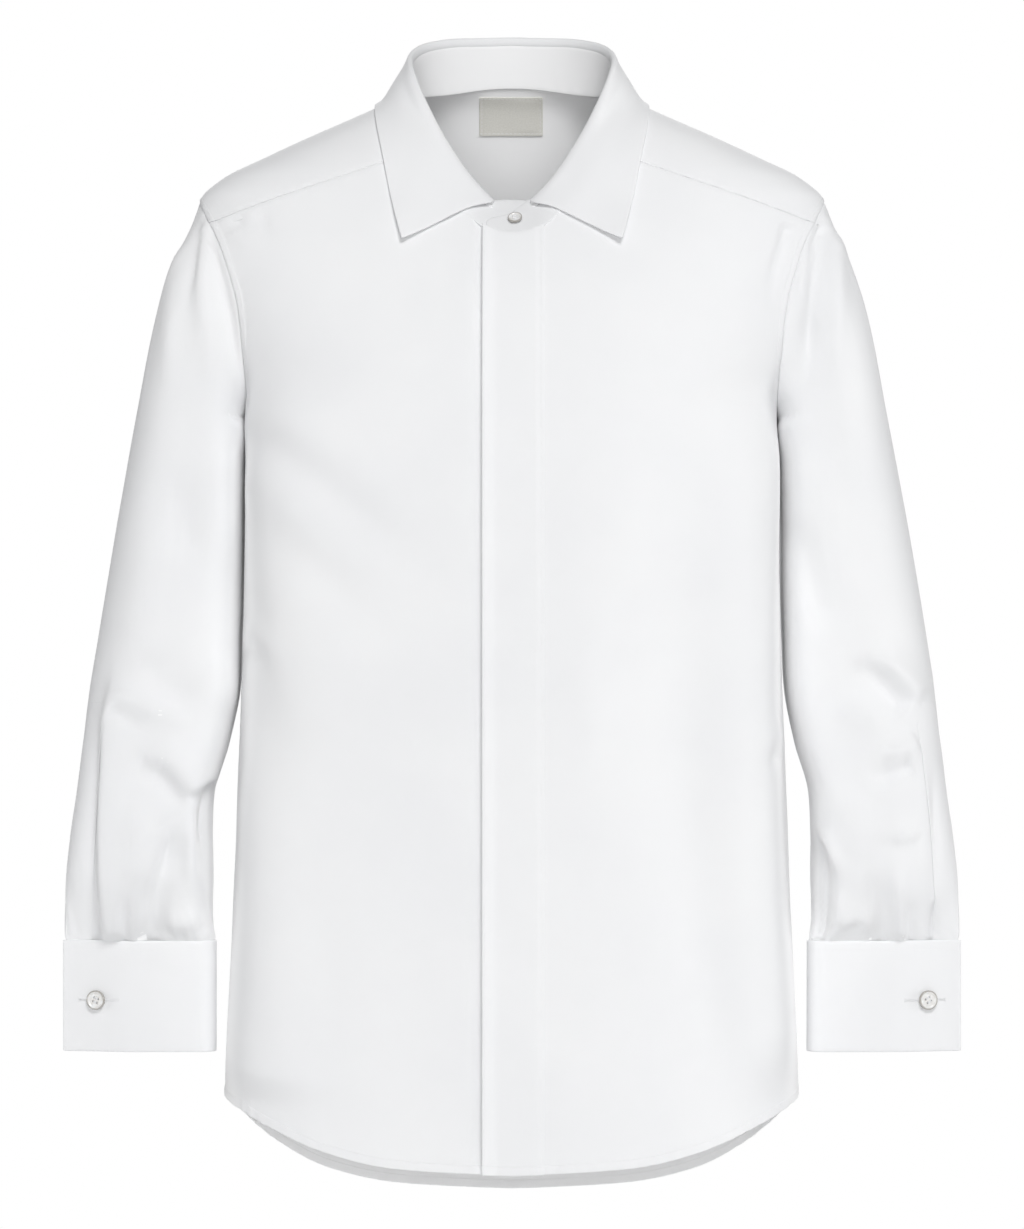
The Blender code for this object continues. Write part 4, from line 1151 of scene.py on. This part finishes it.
def capRows(turns, shares):
    seam = armhole(turns)
    normal = bodyNormal(ringAngle(seam), seam[:, 2])
    into = unit(np.cross(normal, armhole(turns + turnStep) - armhole(turns - turnStep)))
    into = into * np.sign(dot(point(seam[:, 0], 0.0, armholeOval["middle"]) - seam, into))
    under = ((1 - np.cos(turns)) / 2)[:, None]
    lean = pi / 2 * under ** sleeveShape["lean"] + sleeveShape["hang"] * under**8
    leaving = np.cos(lean) * into + np.sin(lean) * normal
    seamNormal = np.cos(lean) * normal - np.sin(lean) * into
    start, end = seam + seamGap * into, sleeveRing(turns, sleeveShape["top"])
    arriving = unit(sleeveRing(turns, sleeveShape["top"] - 20) - end)
    underarm = armholeOval["middle"] - armholeOval["rise"] - riseStep
    reach = np.linalg.norm(end - start, axis=1, keepdims=True)
    rows = []
    for t in shares:
        row = start * (1 - 3 * t**2 + 2 * t**3) + end * (3 * t**2 - 2 * t**3)
        row = row + reach * (leaving * (t - 2 * t**2 + t**3) + arriving * (t**3 - t**2))
        hugging = halfWidthAt(row[:, 1], row[:, 2]) + sleeveShape["clear"] * min(1, t / 0.06)
        drawn = under[:, 0] ** armpit["power"] * ease((underarm + armpit["above"] - row[:, 2]) / armpit["over"])
        drawn = drawn * ease((1 - t) / armpit["until"])
        close = blend(np.maximum(row[:, 0], hugging), hugging, drawn)
        row[:, 0] = np.where((row[:, 2] < underarm) & (t > 0), close, row[:, 0])
        rows.append(row)
    return rows, seamNormal


def sleeveGrid():
    # the outer points from the cuff up, and the directions out of them
    turns = -2 * pi / sleeveShape["columns"] * np.arange(sleeveShape["columns"])
    rows, seamNormal = capRows(turns, np.linspace(0, 1, sleeveShape["capRows"]) ** 1.15)
    count = int((cuff["top"] - sleeveShape["top"]) / -sleeveShape["rowGap"])
    heights = np.linspace(sleeveShape["top"], cuff["top"] + seamGap, count)[1:]
    rows += [sleeveRing(turns, float(height)) for height in heights]
    outer = np.stack(rows)[::-1]
    out = gridNormals(outer, closed=True)
    out[-1] = seamNormal
    out[0] = unit(out[0] * (1, 1, 0))
    return outer, out


def onSide(side, *grids):
    return grids if side > 0 else tuple(mirrored(grid) for grid in grids)


plainSleeve = sleeveGrid()


def makeSleeve(name, side, frontList, seed):
    base, out = onSide(side, *plainSleeve)
    fromSeam, fromCuff = soFar(lengths(base[::-1]))[::-1], base[..., 2] - cuff["top"]
    around = np.cumsum(lengths(np.concatenate([base, base[:, :1]], axis=1), 1), axis=1)
    towardFront, towardBack = ease((0.15 - out[..., 1]) / 0.45), ease((0.15 + out[..., 1]) / 0.45)
    height = sleeveShape["folds"] * relief(base, frontList) * towardFront
    seenAt = base * (side, 1, 1) + (0, 0, 0 if side > 0 else sleeveShape["rightShift"])
    height += relief(seenAt, sleeveBackFolds) * towardBack + ripple(base, 0.45, seed)
    height *= ease(fromSeam / 6) * blend(0.6, 1, ease(fromCuff / 5))
    height = np.minimum(height, blend(0.5, 14, ease(fromCuff / 18)))  # no fold stands over the cuff
    height += puckers(fromSeam, around, 0.3, 12.0, seed + 1, 10.0) * ease(fromSeam / 2)
    height += puckers(fromCuff, around, 0.8, 9.0, seed + 2, 14.0) * ease(fromCuff / 5)
    height -= 0.4 * np.exp(-fromSeam / 1.8) + 0.9 * np.exp(-fromCuff / 2.2)
    outer = base + height[..., None] * out
    inside = halfWidthAt(outer[..., 1], outer[..., 2]) + armpit["clear"] - side * outer[..., 0]
    inside = np.maximum(inside, 0) * ease((armpit["from"] - outer[..., 2]) / armpit["fromOver"])
    outer[..., 0] += side * inside * ease((fromSeam - 2) / 4)
    shown = gridNormals(outer, closed=True)
    shown[-1], shown[0] = out[-1], out[0]
    # painted light: sleeve cloth turned toward the body takes the brighter inside colour, where shade falls between
    # sleeve and body
    pale = ease((-side * shown[..., 0] - sleeveShape["paintedLightFrom"]) / sleeveShape["paintedLightOver"])
    marks = {"seamInset": np.minimum(fromSeam, fromCuff), "pale": pale}
    # the end that is tucked into the cuff
    tuck = outer[:1] - shown[:1] * 1.2 - (0, 0, 1) * np.array((8.0, 4.0, 0.0, -1.2))[:, None, None]
    under = island(tuck, -np.broadcast_to(shown[:1], tuck.shape), 0.5, closed=True)
    clothPiece(name, outer, shown, cloth["thick"], marks, cloth["rim"], closed=True, more=[under])


makeSleeve("sleeve_left", 1, leftSleeveFolds, 61)
makeSleeve("sleeve_right", -1, rightSleeveFolds, 71)

gauntlet = {
    "fromTurn": 12, "toTurn": 54, "side": -452.8, "peak": -436.0, "pointed": 0.45,
    "gap": 0.2, "thick": 0.5, "rows": 60,
}


def makeGauntlet(name, sleeveName, side):
    size = gauntlet
    outer, out = grids[sleeveName]
    columns = sleeveShape["columns"]
    first, last = (columns - round(size[turn] / 360 * columns) for turn in ("toTurn", "fromTurn"))
    picked = np.arange(first, last + 1)
    picked = picked if side > 0 else columns - 1 - picked[::-1]
    middle = (len(picked) - 1) / 2
    tip = np.clip((1 - np.abs(np.arange(len(picked)) - middle) / middle) / size["pointed"], 0, 1)
    grid, facing = [], []
    for column, peak in zip(picked, blend(size["side"], size["peak"], tip)):
        straight = outer[:-sleeveShape["capRows"], column, 2]
        places = np.linspace(0, np.interp(peak, straight, np.arange(len(straight))), size["rows"])
        grid.append(readRows(outer[:, column], places))
        facing.append(readRows(out[:, column], places))
    base, facing = np.stack(grid, axis=1), unit(np.stack(facing, axis=1))
    fine = blend(0.25, 1, ease(insets(base)["top"] / 26))
    raised = base + (size["gap"] + size["thick"]) * fine[..., None] * facing
    clothPiece(name, raised, facing, size["thick"] * fine)


makeGauntlet("gauntlet_left", "sleeve_left", 1)
makeGauntlet("gauntlet_right", "sleeve_right", -1)


def cuffPoint(inset, height, face):
    depth = finDepth(inset, cuff["half"], cuff["depth"])
    return point(cuff["middle"] + cuff["half"] - inset, -cuff["forward"] - face * depth, height)


def makeCuff(name, side, seed):
    width = 2 * cuff["half"]
    turned = width - cuff["depth"] * (1 - np.sin(np.linspace(0, pi / 2, 16)))
    places = np.concatenate([np.linspace(0, turned[0], 62)[:-1], turned])
    heights = np.linspace(cuff["bottom"], cuff["top"], 34)[:, None]
    back, front = cuffPoint(places, heights, -1), cuffPoint(places[::-1], heights, 1)
    (outer,) = onSide(side, np.concatenate([back, front[:, 1:]], axis=1))
    out = gridNormals(outer)
    reach = insets(outer)
    height = ripple(outer, 0.35, seed) + puckers(reach["top"], reach["left"], 0.12, 9.0, seed, 6.0)
    outer = outer + height[..., None] * out
    clothPiece(name, outer, out, cuff["thick"], {"seamInset": reach["top"]}, slotName="firm_cotton")


makeCuff("cuff_left", 1, 81)
makeCuff("cuff_right", -1, 91)

print("label and buttons")

label = {"left": -23.4, "right": 22.0, "top": -0.5, "bottom": -27.0, "thick": 0.8, "height": 1.9, "wave": 0.25}


def makeLabel():
    across = np.linspace(label["right"], label["left"], 46)
    heights = np.linspace(label["bottom"], label["top"], 28)[:, None]
    across, heights = np.broadcast_arrays(across, heights)
    base, out = onBody(point(angleAtX(across, heights, 1), heights))
    out = -out
    reach = insets(base)
    border = np.minimum(np.minimum(reach["left"], reach["right"]), np.minimum(reach["bottom"], reach["top"]))
    height = label["height"] - label["wave"] * np.exp(-((border - 1.6) / 0.6) ** 2)
    height = height + label["wave"] * np.sin(across / 7.0) * ease(border / 5)
    outer = base + height[..., None] * out
    # the label faces the neck, so its rows run the other way round
    outer, out = outer[:, ::-1], out[:, ::-1]
    clothPiece("label", outer, out, label["thick"], slotName="label_satin")


makeLabel()

button = {"radius": 6.8, "thick": 2.6, "rim": 1.5, "dish": 0.7, "hole": 0.8, "spread": 1.45}
smallButton = {"radius": 5.0, "thick": 2.0, "rim": 1.1, "dish": 0.5, "hole": 0.65, "spread": 1.1}
buttonGap = {"cuff": 0.6, "collar": 0.9}
paintedEdgeShade = {"from": 0.95, "over": 0.5, "strength": 0.85}  # painted shade: the darker outline round a button's edge
threads = {"top": [], "bar": [], "button": []}  # paths and thread directions of each kind of stitch


def meshFrom(shape, name):
    mesh = bpy.data.meshes.new(name)
    shape.to_mesh(mesh)
    shape.free()
    return mesh


def ordered(mesh, name):
    # the cut leaves points and faces in a chance order, so they are sorted
    spots = np.array([vertex.co[:] for vertex in mesh.vertices])
    order = np.lexsort(np.round(spots / mm, 4).T)
    place = np.argsort(order)
    faces = []
    for face in mesh.polygons:
        corners = place[list(face.vertices)].tolist()
        first = corners.index(min(corners))
        faces.append(corners[first:] + corners[:first])
    made = bpy.data.meshes.new(name)
    made.from_pydata(spots[order].tolist(), [], sorted(faces))
    return made, spots[order] / mm


def makeButton(name, size, place, facing, turned):
    radius, thick = size["radius"], size["thick"]
    soft, rim, hollow = 0.35 * thick, radius - size["rim"], thick - size["dish"]
    bends = np.linspace(0, pi / 2, 5)
    profile = [(0, 0)] + [(radius - soft + soft * np.sin(b), soft - soft * np.cos(b)) for b in bends]
    profile += [(radius - soft / 2 + soft / 2 * np.cos(b), thick - soft / 2 + soft / 2 * np.sin(b)) for b in bends]
    profile += [(rim + size["dish"] * 0.2, thick), (rim, thick - 0.08), (rim - size["dish"] * 0.7, hollow + 0.1)]
    profile += [(rim - size["dish"] * 1.2, hollow), (0, hollow + 0.05)]
    shape = bmesh.new()
    ring = [shape.verts.new((x * mm, 0, z * mm)) for x, z in profile]
    edges = [shape.edges.new(pair) for pair in zip(ring, ring[1:])]
    bmesh.ops.spin(shape, geom=ring + edges, axis=(0, 0, 1), cent=(0, 0, 0), steps=56, angle=2 * pi)
    bmesh.ops.remove_doubles(shape, verts=shape.verts, dist=1e-6)
    bmesh.ops.recalc_face_normals(shape, faces=shape.faces)
    holes = bmesh.new()
    hole = {"radius1": size["hole"] * mm, "radius2": size["hole"] * mm, "depth": 4 * thick * mm}
    for x, y in ((-1, -1), (-1, 1), (1, -1), (1, 1)):
        made = bmesh.ops.create_cone(holes, cap_ends=True, segments=20, **hole)
        bmesh.ops.translate(holes, verts=made["verts"], vec=Vector((x, y, 0)) * size["spread"] * mm)
    blank = bpy.data.objects.new(name + "_blank", meshFrom(shape, name))
    cutter = bpy.data.objects.new(name + "_cutter", meshFrom(holes, name + "_holes"))
    for part in (blank, cutter):
        bpy.context.scene.collection.objects.link(part)
    cut = blank.modifiers.new("holes", "BOOLEAN")
    cut.operation, cut.solver, cut.object = "DIFFERENCE", "EXACT", cutter
    evaluated = blank.evaluated_get(bpy.context.evaluated_depsgraph_get())
    finished, spots = ordered(evaluated.to_mesh(), name)
    evaluated.to_mesh_clear()
    for part in (blank, cutter):
        bpy.data.objects.remove(part, do_unlink=True)
    # painted shade: a button's rim and outer wall are darkened in colour
    shade = ease((np.hypot(spots[:, 0], spots[:, 1]) - radius + paintedEdgeShade["from"]) / paintedEdgeShade["over"])
    finished.attributes.new("paintedEdgeShade", "FLOAT", "POINT").data.foreach_set("value", shade * paintedEdgeShade["strength"])
    turn = Vector(facing.tolist()).to_track_quat("Z", "Y").to_matrix().to_4x4()
    turn = Matrix.Translation(Vector(place.tolist()) * mm) @ turn @ Matrix.Rotation(turned, 4, "Z")
    finished.transform(turn)
    finished.shade_smooth()
    finished.set_sharp_from_angle(angle=radians(32))
    addPiece(name + "_shell", finished, finishes["pearl"], name)
    # two bars of thread, three strands each, sunk a little into the holes
    for y in (-1, 1):
        ends = [Vector((0, y * size["spread"] + k * 0.42, hollow + 0.22)) for k in (-1, 0, 1)]
        spots = np.array([(turn @ (end * mm)) for end in ends]) / mm
        way = np.array(turn.to_3x3() @ Vector((1, 0, 0)))
        threads["button"].append((spots, np.broadcast_to(way, spots.shape)))


def collarButtonPlace():
    turn, share = ovalTurn(neck, np.array(2.4)), np.array(0.5)
    spot = standPoint(turn, share)
    up = standPoint(turn, share + turnStep) - spot
    across = standPoint(turn - turnStep, share) - standPoint(turn + turnStep, share)
    normal = unit(np.cross(across, up))
    return spot + buttonGap["collar"] * normal, normal


buttonhole = {"button": 23.5, "from": 10.5, "to": 39.5, "height": -646.0, "apart": 0.95, "bar": 1.4}


def cuffButtonPlace(side):
    inset, height = buttonhole["button"], buttonhole["height"]
    along = cuffPoint(inset - 1, height, 1) - cuffPoint(inset + 1, height, 1)
    normal = unit(np.cross(along, (0, 0, 1.0)))
    return (cuffPoint(inset, height, 1) + buttonGap["cuff"] * normal) * (side, 1, 1), normal * (side, 1, 1)


makeButton("collar_button", smallButton, *collarButtonPlace(), 0.2)
makeButton("cuff_button_left", button, *cuffButtonPlace(1), 0.5)
makeButton("cuff_button_right", button, *cuffButtonPlace(-1), -0.35)

print("stitches")

stitch = {
    "top": {"pitch": 3.0, "length": 2.25, "thickness": 0.36},
    "bar": {"pitch": 0.42, "length": 1.15, "thickness": 0.36},
    "button": {"pitch": 0.4, "length": 3.7, "thickness": 0.5},
}


def sew(name, side, inset, span=(0.0, 1.0)):
    # stitches along a line that far in from a piece's edge, sunk a little into its outer face
    both = edgeFirst(np.concatenate(grids[name], axis=-1), side)
    depth = soFar(lengths(both[..., :3]))
    first, last = (round(share * (both.shape[1] - 1)) for share in span)
    line = []
    for column in range(first, last + 1):
        place = np.interp([inset], depth[:, column], np.arange(len(depth)))
        line.append(readRows(both[:, column], place)[0])
    line = np.array(line)
    spots = line[:, :3] - 0.02 * unit(line[:, 3:])
    threads["top"].append((spots, unit(np.gradient(line[:, :3], axis=0))))


sideShare = fineSteps["side"] / (fineSteps["side"] + fineSteps["arm"] + 1)
capShare = fineSteps["cap"] / (2 * (fineSteps["back"] + fineSteps["cap"]))
hemLine, fellLine, edgeLine = cloth["fold"] - 0.8, cloth["fell"] - 0.7, 1.6
for name, armSide in (("front_left", "right"), ("front_right", "left")):
    sew(name, armSide, fellLine, (sideShare + 0.01, 1.0))
    sew(name, armSide, 2.0, (0.0, sideShare))
    sew(name, "bottom", hemLine)
sew("placket", "bottom", hemLine)
sew("placket", "right", edgeLine)
sew("back", "bottom", hemLine)
for armSide in ("left", "right"):
    sew("back", armSide, fellLine, (sideShare + 0.01, 1.0))
sew("yoke", "bottom", edgeLine, (capShare, 1 - capShare))
for span in ((0.0, capShare), (1 - capShare, 1.0)):
    sew("yoke", "bottom", fellLine, span)
sew("yoke", "left", edgeLine)
sew("yoke", "right", edgeLine)
sew("collar_stand", "bottom", 2.4)
for name in ("gauntlet_left", "gauntlet_right"):
    for edgeSide in ("left", "right"):
        sew(name, edgeSide, edgeLine)
for name in ("cuff_left", "cuff_right"):
    sew(name, "top", 6.0, (0.01, 0.99))
for edgeSide in ("left", "right", "top", "bottom"):
    sew("label", edgeSide, 1.5, (0.03, 0.97))


def sewBar(side, places, heights, way):
    places, heights = (values * 1.0 for values in np.broadcast_arrays(places, heights))
    spots = (cuffPoint(places, heights, 1) + (0, -0.08, 0)) * (side, 1, 1)
    threads["bar"].append((spots, np.broadcast_to(way, spots.shape)))


for side in (1, -1):
    places = np.linspace(buttonhole["from"], buttonhole["to"], 30)
    for row in (-1, 1):
        sewBar(side, places, buttonhole["height"] + row * buttonhole["apart"] / 2, (0.0, 0.0, 1.0))
    for end in (buttonhole["from"], buttonhole["to"]):
        across = np.linspace(-buttonhole["bar"], buttonhole["bar"], 6)
        sewBar(side, end, buttonhole["height"] + across, (1.0, 0.0, 0.0))


def stitchTree():
    # runs stitches along paths, each lying along the path's own thread direction
    tree = bpy.data.node_groups.new("sewnStitches", "GeometryNodeTree")
    face = tree.interface
    face.new_socket("Paths", in_out="INPUT", socket_type="NodeSocketGeometry")
    for name in ("Pitch", "Length", "Thickness"):
        face.new_socket(name, in_out="INPUT", socket_type="NodeSocketFloat")
    face.new_socket("Thread", in_out="INPUT", socket_type="NodeSocketMaterial")
    face.new_socket("Stitches", in_out="OUTPUT", socket_type="NodeSocketGeometry")
    start = tree.nodes.new("NodeGroupInput")
    given = {socket.name: Wire(tree, socket) for socket in start.outputs if socket.name}
    curves = node(tree, "GeometryNodeMeshToCurve", {}, {0: given["Paths"]})
    pitch = {"Curve": curves, "Length": given["Pitch"]}
    spaced = node(tree, "GeometryNodeResampleCurve", {"mode": "LENGTH"}, pitch)
    way = node(tree, "GeometryNodeInputNamedAttribute", {"data_type": "FLOAT_VECTOR"}, {"Name": "thread"})
    aligned = node(tree, "FunctionNodeAlignRotationToVector", {"axis": "Z"}, {"Vector": way})
    ball = node(tree, "GeometryNodeMeshUVSphere", {}, {"Segments": 6, "Rings": 4, "Radius": 0.5})
    size = {0: given["Thickness"], 1: given["Thickness"], 2: given["Length"]}
    scale = node(tree, "ShaderNodeCombineXYZ", {}, size)
    put = {"Points": spaced, "Instance": ball, "Rotation": aligned, "Scale": scale}
    real = node(tree, "GeometryNodeRealizeInstances", {}, {0: node(tree, "GeometryNodeInstanceOnPoints", {}, put)})
    soft = node(tree, "GeometryNodeSetShadeSmooth", {}, {0: real})
    coated = node(tree, "GeometryNodeSetMaterial", {}, {"Geometry": soft, "Material": given["Thread"]})
    tree.links.new(coated.socket, tree.nodes.new("NodeGroupOutput").inputs[0])
    return tree


def stitchPiece(name, paths, size, tree):
    spots, edges, ways = [], [], []
    for path, way in paths:
        edges += [(len(spots) + k, len(spots) + k + 1) for k in range(len(path) - 1)]
        spots += path.tolist()
        ways += np.asarray(way).tolist()
    mesh = bpy.data.meshes.new(name + "_paths")
    mesh.from_pydata((np.array(spots) * mm).tolist(), edges, [])
    direction = mesh.attributes.new("thread", "FLOAT_VECTOR", "POINT")
    direction.data.foreach_set("vector", np.array(ways, np.float32).reshape(-1))
    guide = bpy.data.objects.new(name + "_paths", mesh)
    bpy.context.scene.collection.objects.link(guide)
    sewing = guide.modifiers.new("stitches", "NODES")
    sewing.node_group = tree
    given = {"Thread": sewingThread, **{key.capitalize(): value * mm for key, value in size.items()}}
    for item in tree.interface.items_tree:
        if item.name in given:
            sewing[item.identifier] = given[item.name]
    made = bpy.data.meshes.new_from_object(guide.evaluated_get(bpy.context.evaluated_depsgraph_get()))
    bpy.data.objects.remove(guide, do_unlink=True)
    addPiece(name, made, sewingThread)


stitches = stitchTree()
for name, kind in (("top_stitching", "top"), ("buttonhole_stitching", "bar"), ("button_thread", "button")):
    stitchPiece(name, threads[kind], stitch[kind], stitches)

print("camera and light")

view = {"place": (0, -4.0, -0.374), "lens": 165, "world": 0.22}
lamps = {
    "high": ((0.7, -3.55, 2.48), 1.6, 100),
    "front": ((0, -4.6, -0.27), 2.0, 60),
    "right": ((4.6, -0.2, -0.35), 1.6, 46),
    "left": ((-4.6, -0.2, -0.35), 1.6, 41),
    "back": ((0, 4.2, 1.4), 2.4, 135),
}
cameraData = bpy.data.cameras.new("camera")
cameraData.lens, cameraData.sensor_width, cameraData.clip_end = view["lens"], 36, 60
camera = bpy.data.objects.new("camera", cameraData)
camera.location, camera.rotation_euler = view["place"], (pi / 2, 0, 0)
bpy.context.scene.collection.objects.link(camera)
bpy.context.scene.camera = camera
bpy.context.scene.view_settings.view_transform = "Standard"

for name, (place, size, power) in lamps.items():
    data = bpy.data.lights.new(name, "AREA")
    data.shape, data.size, data.energy = "DISK", size, power
    lamp = bpy.data.objects.new(name, data)
    lamp.location = place
    lamp.rotation_euler = (Vector((0, 0, -0.35)) - Vector(place)).to_track_quat("-Z", "Y").to_euler()
    lamp.visible_camera = False
    bpy.context.scene.collection.objects.link(lamp)

world = bpy.data.worlds.new("studio")
world.use_nodes = True
bpy.context.scene.world = world
studio = world.node_tree
lit = studio.nodes["Background"]
lit.inputs["Color"].default_value = (1, 1, 1, 1)
lit.inputs["Strength"].default_value = view["world"]
seen = node(studio, "ShaderNodeBackground", {}, {"Color": (1, 1, 1, 1), "Strength": 1.0})
fromCamera = node(studio, "ShaderNodeLightPath", output="Is Camera Ray")
chosen = node(studio, "ShaderNodeMixShader", {}, {0: fromCamera, 1: Wire(studio, lit.outputs[0]), 2: seen})
studio.links.new(chosen.socket, studio.nodes["World Output"].inputs[0])


def floorTree(tree):
    return {"Normal": bumped(tree, noise(tree, coordinates(tree), 40) * 0.1)}


def makeFloor():
    shape = bmesh.new()
    bmesh.ops.create_circle(shape, cap_ends=True, segments=96, radius=1.85)
    mesh = meshFrom(shape, "floor")
    mesh.transform(Matrix.Translation((0, 0, -1.05)))
    mesh.materials.append(finish("paleFloor", (0.86, 0.86, 0.86), 0.9, {}, floorTree))
    floor = bpy.data.objects.new("floor", mesh)
    bpy.context.scene.collection.objects.link(floor)


makeFloor()
